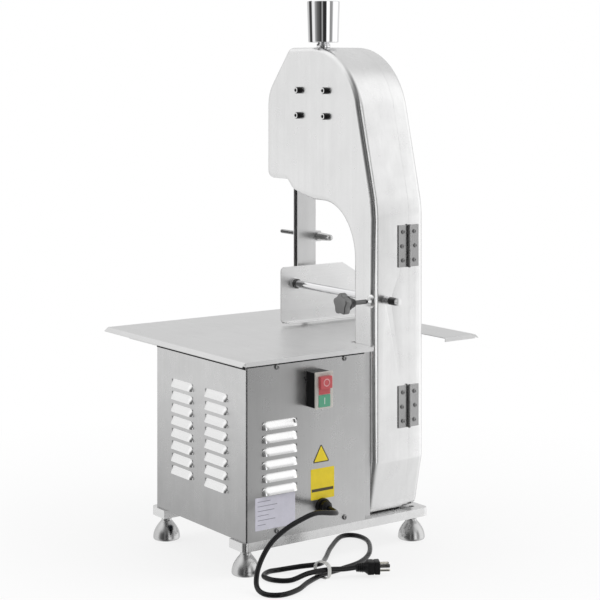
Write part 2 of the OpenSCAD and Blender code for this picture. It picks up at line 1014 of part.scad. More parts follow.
module door_shell() {
  floor_v = 2;
  color("gainsboro")
  difference() {
    union() {
      translate([side_x, front_y, deck_z])
        rotate([90, 0, 0])
          mirror([0, 0, 1])
            rounded_shell(casting_outline(floor_v), door_d - 0.2);
      pin_x(side_x + 332, latch_y - latch_reach, latch_z, 3, 6);
    }
    guard_notch();
    band_slot();
    screw_holes(-1);
  }
}

module door_latch() {
  t = 4;
  x = side_x + 333.2;
  rest = -70;
  color("silver")
  translate([x, latch_y, latch_z]) {
    rotate([rest, 0, 0])
      rotate([90, 0, 90])
        linear_extrude(t)
          difference() {
            union() {
              circle(8);
              translate([-latch_reach, -6])
                square([latch_reach, 12]);
              translate([-latch_reach, 0])
                circle(8);
            }
            translate([-latch_reach, 0])
              circle(3.4);
            translate([-latch_reach - 3.4, -10])
              square([8.2, 10]);         // wider towards the pivot: the pin crosses it on an arc
          }
    translate([t - 0.5, 0, 0])
      pin_x(0, 0, 0, 6, 3);
    pin_x(-wall - 1, 0, 0, 3, wall + 2);
  }
}

// ---- blade guard and guides ----

module blade_guard() {
  t = 2;
  z1 = guard_z0 + guard_len;
  x0 = blade_x - guard_w / 2;
  x1 = blade_x + guard_w / 2;
  clamp_h = 20;
  color("gainsboro")
  difference() {
    union() {
      block([x0, guard_y0, guard_z0], [x0 + t, guard_y1, z1]);
      block([x1 - t, guard_y0, guard_z0], [x1, guard_y1, z1]);
      block([x0, guard_y0, guard_z0], [x1, guard_y0 + t, z1]);
      block([x0 + t, guard_y0 + t, lock_z - clamp_h / 2],
            [x1 - t, guide_rod_y + guide_rod_r + 2.5, lock_z + clamp_h / 2]);
      block([x0, lock_y - 7, lock_z - clamp_h / 2], [x1, guard_y0, lock_z + clamp_h / 2]);
    }
    translate([blade_x, guide_rod_y, guard_z0 - 1])
      cylinder(r = guide_rod_r + run, h = guard_len + 2);
    block([blade_x - 0.4, lock_y - 8, lock_z - clamp_h], [blade_x + 0.4, guide_rod_y,
          lock_z + clamp_h]);
    pin_x(x0 - 1, lock_y, lock_z, 4 + run, guard_w + 2);
  }
}

module guide_blocks() {
  gap = 0.3;
  x = guard_w / 2 - 2;
  color("dimgray")
  for (s = [-1, 1])
    block([blade_x + min(s * x, s * (band_t / 2 + gap)), band_y - band_w + 1, guard_z0 + 2],
          [blade_x + max(s * x, s * (band_t / 2 + gap)), band_y - 1, guard_z0 + 18]);
}

module guide_rod() {
  z0 = guard_z0 + 36;
  color("silver")
  translate([blade_x, guide_rod_y, z0])
    cylinder(r = guide_rod_r, h = deck_z + 655 - z0);
}

module guide_bracket() {
  z0 = deck_z + 638.5;
  z1 = z0 + 16;
  wall_x = side_x + 333 - wall;
  color("gray")
  difference() {
    union() {
      block([wall_x - 8, seam_y + 1, z0], [wall_x - 0.1, back_y - wall - 0.1, z1]);
      block([wall_x - 8, seam_y - 14, z0], [wall_x - 4, seam_y + 2, z1]);
      block([blade_x - 6, seam_y - 14, z0], [wall_x - 4, wheel_y - wheel_w / 2 - 0.8, z1]);
    }
    translate([blade_x, guide_rod_y, z0 - 1])
      cylinder(r = guide_rod_r + seat, h = 20);
  }
}

module guard_lock_screw() {
  color("silver")
    pin_x(blade_x - 30, lock_y, lock_z, 4, 147);
}

module guard_lock_grip() {
  len = 42;
  big = 8;
  color("darkgray")
  translate([blade_x - guard_w / 2 - 0.5, lock_y, lock_z])
    rotate([0, -90, 0])
      difference() {
        rotate_extrude()
          polygon([[0, 0], [big, 0], [big, 3], [5.5, len - 3], [3.5, len - 0.6], [0, len]]);
        translate([0, 0, -1])
          cylinder(r = 4 + seat, h = 24);
      }
}

module lower_guide() {
  x = 10;
  slot = 1.2;
  color("whitesmoke")
  difference() {
    block([blade_x - x, band_y - band_w + 1.2, table_z - 12.3],
          [blade_x + x, band_y + 14, table_z - 0.1]);
    block([blade_x - slot / 2, band_y - band_w - 1, table_z - 14],
          [blade_x + slot / 2, band_y + 0.5, table_z + 1]);
  }
}

// ---- fence ----

module fence_plate() {
  t = 2.5;
  y0 = back_y - 210;
  len = 210;
  h = fence_h;
  lip = 14;
  color("gainsboro")
  difference() {
    union() {
      translate([fence_x - t, y0, fence_z0])
        rotate([90, 0, 90])
          linear_extrude(t)
            difference() {
              rounded_rect([0, 0], [len, h], 8);
              translate([0, h - 36])
                rotate(30)
                  translate([-100, 0])
                    square([200, 80]);
            }
      block([fence_x - t - lip, y0 + 10, fence_z0], [fence_x - 0.1, y0 + len - 8, fence_z0 + 2]);
      pin_x(fence_x - t - 4, rod_y, rod_z, 10, 5);
    }
    pin_x(fence_x - t - 8, rod_y, rod_z, rod_d / 2 + seat, t + 7);
  }
}

module fence_rod() {
  color("silver")
    pin_x(side_x - rod_stub, rod_y, rod_z, rod_d / 2, fence_x - 1.2 - side_x + rod_stub);
}

module fence_lock_knob() {
  lobe = 7;
  reach = 14;
  y_face = back_y + 67;
  color("dimgray")
  translate([lock_x, y_face, rod_z])
    rotate([90, 0, 0])
      difference() {
        union() {
          linear_extrude(14)
            union() {
              circle(reach);
              for (a = [0 : 72 : 288])
                rotate(a + 18)
                  translate([reach, 0])
                    circle(lobe);
            }
          translate([0, 0, 14])
            rotate_extrude()
              polygon([[0, 0], [13, 0], [7, 18], [0, 18]]);
        }
        translate([0, 0, 8])
          cylinder(r = 4 + seat, h = 30);
      }
}

module fence_lock_stud() {
  tip = rod_y + rod_d / 2 + 0.1;
  color("silver")
    pin_y(lock_x, back_y + 57, rod_z, 4, back_y + 57 - tip);
}

// ---- switch, gland and cord ----

switch_w = 35;
switch_h = 60;
switch_out = 24;
button = [25, 21];
stop_z = switch_z + 14;
start_z = switch_z - 18;

module button_pocket(z, gap, x0, x1) {
  block([x0, switch_y - button[0] / 2 - gap, z - button[1] / 2 - gap],
        [x1, switch_y + button[0] / 2 + gap, z + button[1] / 2 + gap]);
}

module switch_housing() {
  color("black")
  difference() {
    union() {
      block([side_x - switch_out, switch_y - switch_w / 2, switch_z - switch_h / 2],
            [side_x, switch_y + switch_w / 2, switch_z + switch_h / 2]);
      block([side_x - 1, switch_y - 13.8, switch_z - 24.8],
            [side_x + 22, switch_y + 13.8, switch_z + 24.8]);
    }
    for (z = [stop_z, start_z])
      button_pocket(z, 0.4, side_x - switch_out - 1, side_x - 8);
  }
}

module switch_bezel() {
  x1 = side_x - switch_out;
  color("gainsboro")
  difference() {
    block([x1 - 3, switch_y - switch_w / 2 - 1.5, switch_z - switch_h / 2 - 1.5],
          [x1, switch_y + switch_w / 2 + 1.5, switch_z + switch_h / 2 + 1.5]);
    for (z = [stop_z, start_z])
      button_pocket(z, 0.4, x1 - 4, x1 + 1);
  }
}

module stop_button() {
  color("indianred")
    button_pocket(stop_z, 0, side_x - switch_out - 10, side_x - 12);
}

module start_button() {
  color("mediumseagreen")
    button_pocket(start_z, 0, side_x - switch_out - 4, side_x - 12);
}

module cable_gland() {
  color("black")
  difference() {
    union() {
      pin_x(side_x - 6, gland_y, gland_z, 14, 6);
      pin_x(side_x - 20, gland_y, gland_z, 11, 15);
      pin_x(side_x - 1, gland_y, gland_z, 10, 14);
      translate([side_x + sheet + 0.05, gland_y, gland_z])
        rotate([0, 90, 0])
          cylinder(r = 13.5, h = 5, $fn = 6);
    }
    pin_x(side_x - 30, gland_y, gland_z, cord_r + 0.6, 60);
  }
}

// Centre line of the cord, from inside the box to the plug
cord_points = [
  [side_x + 8, gland_y, gland_z], [side_x - 22, gland_y, gland_z],
  [side_x - 46, gland_y + 4, gland_z - 1], [-210, 60, 101], [-213, 95, 107], [-212, 125, 101],
  [-211, 158, 89], [-210, 188, 69], [-211, 210, 38], [-222, 222, 12], [-246, 223, 4.6],
  [-266, 203, 4.6], [-260, 167, 4.6], [-238, 130, 4.6], [-220, 88, 4.6], [-212, 40, 4.6],
  [-200, -8, 4.6], [-166, -54, 4.6], [-110, -94, 4.6], [-70, -98, 4.6], [-60, -72, 4.6],
  [-104, -16, 4.6], [-160, 38, 8], [-196, 76, 15], [-178, 104, 11], [-156, 128, 4.6],
  [-154, 152, 4.6], [-170, 172, 4.6], [-196, 170, 4.6], [-214, 148, 5], [-222, 118, 13],
  [-230, 84, 15], [-240, 58, 14], [-247, 40, 15]
];
cord_steps = 4;

// A smooth curve through the points
function spline(a, b, c, d, t) =
  0.5 * (2 * b + (c - a) * t + (2 * a - 5 * b + 4 * c - d) * t * t
         + (3 * b - a - 3 * c + d) * t * t * t);
function smooth(p, steps) =
  let (n = len(p) - 1)
  [for (i = [0 : n - 1], j = [0 : steps - (i == n - 1 ? 0 : 1)])
    spline(p[max(i - 1, 0)], p[i], p[i + 1], p[min(i + 2, n)], j / steps)];

// A round cord along a line of points
module tube(path, r, sides) {
  n = len(path);
  ahead = [for (i = [0 : n - 1]) unit(path[min(i + 1, n - 1)] - path[max(i - 1, 0)])];
  points = [for (i = [0 : n - 1])
    let (t = ahead[i], a = unit(cross(t, abs(t[2]) > 0.9 ? [1, 0, 0] : [0, 0, 1])),
         b = cross(a, t))
    each [for (k = [0 : sides - 1])
      path[i] + r * (cos(360 * k / sides) * a + sin(360 * k / sides) * b)]];
  walls = [for (i = [0 : n - 2]) each [for (k = [0 : sides - 1])
    let (m = (k + 1) % sides, p = i * sides + k, q = i * sides + m)
    each [[p, p + sides, q + sides], [p, q + sides, q]]]];
  first = [for (k = [0 : sides - 1]) k];
  end = [for (k = [sides - 1 : -1 : 0]) (n - 1) * sides + k];
  polyhedron(points, concat(walls, [first, end]));
}

module power_cord() {
  color("black")
    tube(smooth(cord_points, cord_steps), cord_r, 10);
}

plug_at = [-247.5, 39, 15];
plug_turn = -120;

module plug_body() {
  color("black")
  translate(plug_at)
    rotate([0, 0, plug_turn])
      rotate([0, 90, 0]) {
        cylinder(r1 = 6, r2 = 7.5, h = 14);
        hull() {
          translate([0, 0, 12])
            cylinder(r = 8, h = 2, $fn = hull_fn);
          for (x = [-6, 6], y = [-7, 7])
            translate([x, y, 18])
              cylinder(r = 5, h = 22, $fn = hull_fn);
        }
      }
}

module plug_prongs() {
  color("silver")
  translate(plug_at)
    rotate([0, 0, plug_turn]) {
      for (y = [-6.35, 6.35])
        block([40, y - 0.75, 0], [57, y + 0.75, 6.3]);
      pin_x(40, 0, -6, 2.4, 19);
    }
}

base_frame();
leveling_feet();
foot_studs();
frame_bolts();
rear_panel();
side_panel();
throat_panel();
box_rails();
panel_screws();
frame_casting();
table_plate();
table_ribs();
blade_insert();
motor_housing();
motor_end_bells();
fan_cowl();
motor_bolts();
motor_bearings();
capacitor();
head_bolts();
tension_guide();
tension_bush();
saw_blade();
frame_hinge_leaves();
hinge_pins();
frame_hinge_screws();
lower_guide();
guide_bracket();
guide_rod();
switch_housing();
switch_bezel();
cable_gland();
power_cord();
plug_body();
plug_prongs();
tension_block();
upper_axle();
tension_knob();
tension_screw();
upper_wheel();
upper_bearings();
motor_rotor();
motor_fan();
lower_wheel();
wheel_key();
wheel_bolt();
blade_guard();
guide_blocks();
guard_lock_screw();
guard_lock_grip();
fence_plate();
fence_rod();
fence_lock_knob();
fence_lock_stud();
door_shell();
door_hinge_leaves();
door_hinge_screws();
door_latch();
stop_button();
start_button();
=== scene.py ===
import json
import math
import bmesh
import bpy
from mathutils import Matrix, Vector

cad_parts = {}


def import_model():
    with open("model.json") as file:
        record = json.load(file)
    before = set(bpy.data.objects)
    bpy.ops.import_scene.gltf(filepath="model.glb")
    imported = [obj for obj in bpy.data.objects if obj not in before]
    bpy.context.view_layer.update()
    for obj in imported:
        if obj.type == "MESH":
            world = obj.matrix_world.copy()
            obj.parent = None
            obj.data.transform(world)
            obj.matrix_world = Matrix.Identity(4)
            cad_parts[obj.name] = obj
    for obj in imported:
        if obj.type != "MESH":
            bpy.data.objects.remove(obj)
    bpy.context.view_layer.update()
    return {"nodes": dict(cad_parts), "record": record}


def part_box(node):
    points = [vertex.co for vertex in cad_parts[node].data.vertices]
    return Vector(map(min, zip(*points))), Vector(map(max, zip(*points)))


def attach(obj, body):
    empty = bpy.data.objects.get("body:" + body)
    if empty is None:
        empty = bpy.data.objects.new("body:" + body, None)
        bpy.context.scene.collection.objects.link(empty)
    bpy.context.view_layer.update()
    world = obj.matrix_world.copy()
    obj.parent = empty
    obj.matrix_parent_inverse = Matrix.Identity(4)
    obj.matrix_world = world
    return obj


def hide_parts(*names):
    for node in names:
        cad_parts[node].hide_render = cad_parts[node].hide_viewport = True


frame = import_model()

MM = 0.001
X, Y, Z = Vector((1, 0, 0)), Vector((0, 1, 0)), Vector((0, 0, 1))
to_camera = Vector((-0.8121, 0.5835, 0.0)).normalized()   # level, from the object


# ---------------------------------------------------------------- node helpers

class Nodes:
    """Short way to build one material's node tree."""

    def __init__(self, name):
        self.mat = bpy.data.materials.new(name)
        self.mat.use_nodes = True
        self.tree = self.mat.node_tree
        self.tree.nodes.clear()
        self.out = self.add("ShaderNodeOutputMaterial")
        self.bsdf = self.add("ShaderNodeBsdfPrincipled")
        self.link(self.bsdf.outputs["BSDF"], self.out.inputs["Surface"])
        self.coord = self.add("ShaderNodeTexCoord").outputs["Object"]

    def add(self, kind, **props):
        n = self.tree.nodes.new(kind)
        for k, v in props.items():
            setattr(n, k, v)
        return n

    def link(self, a, b):
        self.tree.links.new(a, b)

    def put(self, socket, value):
        if isinstance(value, bpy.types.NodeSocket):
            self.link(value, socket)
        else:
            socket.default_value = value

    def scaled(self, scale, source=None):
        m = self.add("ShaderNodeMapping")
        self.link(source or self.coord, m.inputs["Vector"])
        m.inputs["Scale"].default_value = scale
        return m.outputs["Vector"]

    def noise(self, scale, detail=4.0, rough=0.55, stretch=(1, 1, 1)):
        n = self.add("ShaderNodeTexNoise")
        self.link(self.scaled(stretch), n.inputs["Vector"])
        n.inputs["Scale"].default_value = scale
        n.inputs["Detail"].default_value = detail
        n.inputs["Roughness"].default_value = rough
        return n.outputs["Fac"]

    def span(self, value, lo, hi, out_lo, out_hi):
        m = self.add("ShaderNodeMapRange")
        self.put(m.inputs["Value"], value)
        for i, v in zip(("From Min", "From Max", "To Min", "To Max"), (lo, hi, out_lo, out_hi)):
            m.inputs[i].default_value = v
        return m.outputs["Result"]

    def math(self, op, a, b=0.0, clamp=False):
        m = self.add("ShaderNodeMath", operation=op, use_clamp=clamp)
        self.put(m.inputs[0], a)
        self.put(m.inputs[1], b)
        return m.outputs[0]

    def mix(self, fac, a, b):
        m = self.add("ShaderNodeMix", data_type="RGBA")
        self.put(m.inputs[0], fac)
        self.put(m.inputs[6], a)
        self.put(m.inputs[7], b)
        return m.outputs[2]

    def split(self, vector=None):
        s = self.add("ShaderNodeSeparateXYZ")
        self.link(vector or self.coord, s.inputs[0])
        return s.outputs

    def bump(self, height, strength, distance, normal=None):
        b = self.add("ShaderNodeBump")
        b.inputs["Strength"].default_value = strength
        b.inputs["Distance"].default_value = distance
        self.link(height, b.inputs["Height"])
        if normal:
            self.link(normal, b.inputs["Normal"])
        return b.outputs["Normal"]

    def edge(self, radius, gain=1.0):
        """1 along worn outer edges, 0 elsewhere."""
        bev = self.add("ShaderNodeBevel", samples=6)
        bev.inputs["Radius"].default_value = radius
        geo = self.add("ShaderNodeNewGeometry")
        dot = self.add("ShaderNodeVectorMath", operation="DOT_PRODUCT")
        self.link(bev.outputs[0], dot.inputs[0])
        self.link(geo.outputs["Normal"], dot.inputs[1])
        return self.span(dot.outputs["Value"], 1.0, 0.8, 0.0, gain)

    def facing(self, stops):
        """A tone by the angle of the surface about Z, in degrees from the camera's side; it paints reflections that
        stay fixed to the surface.
        """
        geo = self.add("ShaderNodeNewGeometry")
        nx, ny, _ = self.split(geo.outputs["Normal"])
        c, k = to_camera.x, to_camera.y
        along = self.math("ADD", self.math("MULTIPLY", nx, c), self.math("MULTIPLY", ny, k))
        across = self.math("SUBTRACT", self.math("MULTIPLY", ny, c), self.math("MULTIPLY", nx, k))
        turn = self.math("MULTIPLY", self.math("ARCTAN2", across, along), 180 / math.pi)
        ramp_node = self.add("ShaderNodeValToRGB")
        self.link(self.span(turn, stops[0][0], stops[-1][0], 0.0, 1.0), ramp_node.inputs[0])
        el = ramp_node.color_ramp.elements
        while len(el) < len(stops):
            el.new(0.5)
        for e, (a, tone) in zip(el, stops):
            e.position = (a - stops[0][0]) / (stops[-1][0] - stops[0][0])
            e.color = (tone, tone, tone, 1)
        return ramp_node.outputs[0]

    def tangent(self, direction):
        v = self.add("ShaderNodeVectorTransform", vector_type="VECTOR",
                     convert_from="OBJECT", convert_to="WORLD")
        v.inputs[0].default_value = direction
        self.link(v.outputs[0], self.bsdf.inputs["Tangent"])

    def set(self, **values):
        names = {"color": "Base Color", "rough": "Roughness", "metal": "Metallic",
                 "normal": "Normal", "aniso": "Anisotropic", "ior": "IOR",
                 "trans": "Transmission Weight", "coat": "Coat Weight",
                 "coat_rough": "Coat Roughness", "spec": "Specular IOR Level",
                 "sss": "Subsurface Weight", "alpha": "Alpha"}
        for k, v in values.items():
            if k == "color" and isinstance(v, tuple):
                v = (*v, 1.0)
            self.put(self.bsdf.inputs[names[k]], v)
        return self.mat


def metal(name, light, rough, grain=None, aniso=0.0, spread=None, mottle=0.03, fine=0.12,
          bump=0.02, tint=(1.0, 1.0, 1.0), smudge=0.04, streak=0.0, painted_shading=(), painted_reflections=None):
    """Bare metal: a tone that drifts a little, a fine grain and broad streaks along `grain`, soft
    smudges, painted shade and sheen from `painted_shading` as (axis, from, to, tone at from, tone at to) gradients
    across the piece, and painted reflections from `painted_reflections` as tone stops by the surface's facing."""
    n = Nodes(name)
    cloud = n.noise(9.0, 5.0, 0.6)
    stretch = (1, 1, 1) if grain is None else tuple(0.02 if abs(g) > 0.5 else 1.0 for g in grain)
    lines = n.noise(1500.0, 3.0, 0.7, stretch)
    tone = n.math("ADD", n.span(cloud, 0.3, 0.7, light - mottle, light + mottle),
                  n.span(lines, 0.2, 0.8, -fine * 0.25, fine * 0.25))
    if streak:
        broad = n.noise(110.0, 4.0, 0.65, stretch)
        tone = n.math("ADD", tone, n.span(broad, 0.3, 0.7, -streak, streak))
    # painted shade and sheen: tone gradients across the piece in place of the studio's light and shade
    for axis, a, b, tone_a, tone_b in painted_shading:
        tone = n.math("MULTIPLY", tone, n.span(n.split()[axis], a, b, tone_a, tone_b))
    # painted reflections: tone bands by the surface's facing, fixed to the surface
    if painted_reflections:
        tone = n.math("MULTIPLY", tone, n.facing(painted_reflections))
    grey = n.add("ShaderNodeCombineColor")
    for i in range(3):
        n.put(grey.inputs[i], n.math("MULTIPLY", tone, tint[i]))
    wipe = n.noise(28.0, 6.0, 0.65)
    r = n.math("ADD", n.span(wipe, 0.35, 0.7, rough - smudge, rough + smudge),
               n.span(lines, 0.2, 0.8, -fine * 0.2, fine * 0.2), clamp=True)
    n.set(color=grey.outputs[0], rough=r, metal=1.0,
          normal=n.bump(lines, bump, 0.0002, n.bump(n.noise(14.0, 0.0), bump * 0.5, 0.002)))
    if aniso:
        n.set(aniso=aniso)
        n.tangent(spread)
    return n.mat


def plastic(name, color, rough, grain=0.1, coat=0.0, vary=0.15, dusty=0.08, spec=0.5):
    n = Nodes(name)
    cloud = n.noise(40.0, 5.0)
    pits = n.noise(2600.0, 2.0)
    dust = n.span(n.noise(500.0, 8.0, 0.7), 0.62, 0.75, 0.0, dusty)
    lit = tuple(min(1.0, c * (1 + vary) + 0.01 * vary) for c in color)
    dim = tuple(c * (1 - vary) for c in color)
    base = n.mix(cloud, (*dim, 1), (*lit, 1))
    return n.set(color=n.mix(dust, base, (0.6, 0.6, 0.6, 1)),
                 rough=n.span(cloud, 0.3, 0.7, rough - 0.04, rough + 0.05),
                 coat=coat, coat_rough=0.08, spec=spec, normal=n.bump(pits, grain, 0.0002))


def brushed_sheet(name, light, rough, spread, grain, painted_shading=(), mottle=0.02):
    return metal(name, light, rough, grain, 0.75, spread, mottle, 0.10, 0.03, streak=0.015,
                 painted_shading=painted_shading)


MAT = {}
MAT["cast"] = metal("satin_cast_aluminium", 0.86, 0.25, (0, 0, 1), 0.2, (0, 1, 0), 0.03, 0.04, 0.015,
                    streak=0.018)
MAT["base"] = metal("base_plate_aluminium", 0.80, 0.28, (1, 0, 0), 0.3, (0, 0, 1), 0.03, 0.06, 0.02,
                    streak=0.03)
# Painted shade and sheen on the box sheets: the side material (also on the throat panel) is darker towards +Y and
# towards the top and a little lighter at the bottom; the rear sheet is darker towards the bottom.
MAT["side"] = brushed_sheet("brushed_side_panel", 0.60, 0.30, (0, 1, 0), (0, 0, 1),
                            [(1, 0.19, 0.0, 0.72, 1.0), (2, 0.33, 0.10, 0.90, 1.06)])
MAT["rear"] = brushed_sheet("brushed_rear_panel", 0.72, 0.30, (1, 0, 0), (0, 0, 1),
                            [(2, 0.07, 0.30, 0.62, 1.0)])
MAT["table"] = brushed_sheet("brushed_table_sheet", 0.76, 0.32, (0, 1, 0), (1, 0, 0))
# painted highlight: the louvres are pressed from the panel sheets but carry a brighter tone than them
MAT["louvre"] = metal("louvre_steel", 0.95, 0.20, None, 0, None, 0.015, 0.03, 0.01)
MAT["fence"] = brushed_sheet("brushed_fence", 0.86, 0.31, (0, 0, 1), (0, 1, 0))
MAT["guard"] = brushed_sheet("brushed_guard", 0.80, 0.32, (0, 1, 0), (0, 0, 1))
MAT["chrome"] = metal("polished_chrome", 0.90, 0.06, None, 0, None, 0.01, 0.02, 0.004, (1, 1, 1.01), 0.015)
# painted reflection: a near-black band and a dimmer band on the knob, set by the facing of its surface
MAT["knob_chrome"] = metal("knob_chrome", 0.90, 0.05, None, 0, None, 0.01, 0.02, 0.004, (1, 1, 1.01), 0.015,
                           painted_reflections=[(-90, 0.75), (-66, 0.75), (-60, 0.05), (-48, 0.05), (-45, 1.0), (90, 1.0)])
MAT["foot"] = metal("polished_foot", 0.62, 0.27, None, 0, None, 0.02, 0.05, 0.01, (1, 1, 1), 0.03)
MAT["steel"] = metal("machined_steel", 0.62, 0.26, None, 0, None, 0.03, 0.12, 0.03)
MAT["hinge"] = metal("hinge_steel", 0.42, 0.26, (0, 0, 1), 0.5, (0, 1, 0), 0.03, 0.14, 0.03)
MAT["dark_steel"] = metal("dark_pin_steel", 0.16, 0.30, None, 0, None, 0.03, 0.1, 0.03)
MAT["black_steel"] = metal("blackened_steel", 0.07, 0.25, None, 0, None, 0.015, 0.05, 0.02)
MAT["screw"] = metal("screw_steel", 0.34, 0.17, None, 0, None, 0.02, 0.05, 0.01)
MAT["bolt"] = metal("bolt_steel", 0.80, 0.22, None, 0, None, 0.02, 0.05, 0.01)
MAT["blade"] = metal("blade_steel", 0.55, 0.3, (0, 0, 1), 0.5, (0, 1, 0), 0.03, 0.1, 0.03)
MAT["prong"] = metal("nickel_prong", 0.85, 0.16, None, 0, None, 0.02, 0.05, 0.01, (1.0, 0.98, 0.92))
MAT["paint"] = plastic("motor_paint", (0.10, 0.13, 0.17), 0.42, 0.25)
MAT["black"] = plastic("black_plastic", (0.008, 0.008, 0.009), 0.32, 0.05, 0.0, 0.3, 0.0, 0.25)
MAT["rubber"] = plastic("cord_jacket", (0.006, 0.006, 0.007), 0.22, 0.02, 0.0, 0.4, 0.0, 0.3)
# painted shadow: near-black for the strips that stand for shade in the corner joint and under the table's rim
MAT["seal"] = plastic("corner_seal", (0.006, 0.006, 0.006), 0.6, 0.1, 0.0, 0.3, 0.0, 0.2)
MAT["knob"] = metal("grey_star_knob", 0.20, 0.32, None, 0, None, 0.05, 0.08, 0.05)
MAT["knob_hub"] = plastic("star_knob_hub", (0.012, 0.012, 0.013), 0.34, 0.1, 0.0, 0.3, 0.01, 0.3)
MAT["white"] = plastic("white_nylon", (0.72, 0.72, 0.69), 0.42, 0.08)
MAT["tie"] = plastic("twist_tie", (0.62, 0.62, 0.60), 0.4, 0.15)
MAT["red"] = plastic("red_button", (0.50, 0.075, 0.085), 0.34, 0.04, 0.2, 0.06, 0.02)
MAT["pale_red"] = plastic("pale_red_mark", (0.72, 0.42, 0.42), 0.4, 0.04, 0.2, 0.05)
MAT["green"] = plastic("green_button", (0.085, 0.34, 0.21), 0.34, 0.04, 0.2, 0.06, 0.02)
MAT["mark"] = plastic("button_mark", (0.78, 0.82, 0.78), 0.4, 0.03)


def make_clear():
    n = Nodes("clear_switch_cover")
    haze = n.noise(120.0, 4.0)
    n.set(color=(0.80, 0.77, 0.72), rough=n.span(haze, 0.3, 0.7, 0.16, 0.26), trans=0.3, ior=1.42,
          alpha=n.span(haze, 0.3, 0.7, 0.82, 0.94), normal=n.bump(haze, 0.05, 0.0005))
    return n.mat


MAT["clear"] = make_clear()


# ---------------------------------------------------------------- mesh helpers

def obj(name, bm, mat=None, smooth=40, bevel=0.0, seg=2, weighted=True):
    me = bpy.data.meshes.new(name)
    bmesh.ops.recalc_face_normals(bm, faces=bm.faces)
    bm.to_mesh(me)
    bm.free()
    return finish(name, me, mat, smooth, bevel, seg, weighted)


def finish(name, me, mat, smooth=40, bevel=0.0, seg=2, weighted=True):
    ob = bpy.data.objects.new(name, me)
    bpy.context.scene.collection.objects.link(ob)
    me.polygons.foreach_set("use_smooth", [True] * len(me.polygons))
    if bevel:
        m = ob.modifiers.new("edges", "BEVEL")
        m.width = bevel
        m.segments = seg
        m.limit_method = "ANGLE"
        m.angle_limit = math.radians(32)
        m.harden_normals = False
    else:
        me.set_sharp_from_angle(angle=math.radians(smooth))
    if weighted:
        w = ob.modifiers.new("normals", "WEIGHTED_NORMAL")
        w.weight = 100
        w.keep_sharp = True
    if mat:
        me.materials.clear()
        me.materials.append(mat)
    return ob


def skin(node, mat, bevel=0.0005, seg=2, keep=None, name=None, dissolve=True):
    """The CAD node's own surface, welded and with softened edges."""
    src = frame["nodes"][node]
    bm = bmesh.new()
    bm.from_mesh(src.data)
    bmesh.ops.remove_doubles(bm, verts=bm.verts, dist=3e-6)
    if keep:
        bad = [v for v in bm.verts if not keep(v.co)]
        bmesh.ops.delete(bm, geom=bad, context="VERTS")
    if dissolve:
        bmesh.ops.dissolve_limit(bm, angle_limit=math.radians(0.6), verts=bm.verts, edges=bm.edges)
    me = bpy.data.meshes.new(node + "_skin")
    bm.to_mesh(me)
    bm.free()
    ob = finish(name or node + "_skin", me, mat, 32, bevel, seg)
    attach(ob, body_of[node])
    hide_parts(node)
    return ob


def place(ob, body, slot, *nodes):
    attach(ob, body)
    if nodes:
        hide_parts(*nodes)
    return ob


body_of = {}
for body, members in frame["record"]["behaviour"]["bodies"].items():
    for member in members:
        body_of[member] = body


def lathe(name, profile, at, axis, mat, seg=64, smooth=35):
    """profile is [(radius, height), ...] in metres along axis from at."""
    bm = bmesh.new()
    axis = Vector(axis)
    q = Z.rotation_difference(axis).to_matrix()
    rings = []
    for r, h in profile:
        if r < 1e-7:
            rings.append([bm.verts.new(q @ Vector((0, 0, h)) + at)])
        else:
            rings.append([bm.verts.new(q @ Vector((r * math.cos(a), r * math.sin(a), h)) + at)
                          for a in (2 * math.pi * k / seg for k in range(seg))])
    for a, b in zip(rings, rings[1:]):
        for k in range(seg):
            j = (k + 1) % seg
            f = [a[k % len(a)], a[j % len(a)], b[j % len(b)], b[k % len(b)]]
            f = list(dict.fromkeys(f))
            if len(f) > 2:
                bm.faces.new(f)
    return obj(name, bm, mat, smooth)


def merge(name, parts):
    """Joins finished objects into one piece, keeping their materials."""
    bpy.context.view_layer.update()
    dg = bpy.context.evaluated_depsgraph_get()
    bm = bmesh.new()
    mats = []
    for p in parts:
        me = bpy.data.meshes.new_from_object(p.evaluated_get(dg))
        base = len(bm.faces)
        bm.from_mesh(me)
        bm.faces.ensure_lookup_table()
        m = p.data.materials[0]
        if m not in mats:
            mats.append(m)
        for f in bm.faces[base:]:
            f.material_index = mats.index(m)
        bpy.data.meshes.remove(me)
        bpy.data.objects.remove(p)
    me = bpy.data.meshes.new(name)
    bm.to_mesh(me)
    bm.free()
    for m in mats:
        me.materials.append(m)
    ob = bpy.data.objects.new(name, me)
    bpy.context.scene.collection.objects.link(ob)
    return ob


def box_bm(lo, hi, bm=None):
    bm = bm or bmesh.new()
    r = bmesh.ops.create_cube(bm, size=1.0)
    for v in r["verts"]:
        v.co = Vector([lo[i] + (v.co[i] + 0.5) * (hi[i] - lo[i]) for i in range(3)])
    return bm


def rounded_box(name, lo, hi, r, mat, seg=3):
    bm = box_bm(lo, hi)
    bmesh.ops.bevel(bm, geom=bm.edges[:], offset=r, segments=seg, profile=0.5, affect="EDGES")
    return obj(name, bm, mat, 50)


def plate(name, outline, origin, u, v, thick, mat, bevel=0.0003, seg=2):
    """A flat plate: outline points in the u, v plane, thickened along u x v."""
    bm = bmesh.new()
    w = u.cross(v).normalized() * thick
    low = [bm.verts.new(origin + u * p[0] + v * p[1]) for p in outline]
    face = bm.faces.new(low)
    top = bmesh.ops.extrude_face_region(bm, geom=[face])
    bmesh.ops.translate(bm, vec=w, verts=[g for g in top["geom"] if isinstance(g, bmesh.types.BMVert)])
    return obj(name, bm, mat, 35, bevel, seg)


def torus(name, at, axis, big, small, mat, seg=48, ring=12):
    prof = [(big + small * math.cos(a), small * math.sin(a))
            for a in (2 * math.pi * k / ring for k in range(ring + 1))]
    return lathe(name, prof, at, axis, mat, seg)


def centre(node):
    lo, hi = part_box(node)
    return (lo + hi) / 2


# ---------------------------------------------------------------- casting, door and base

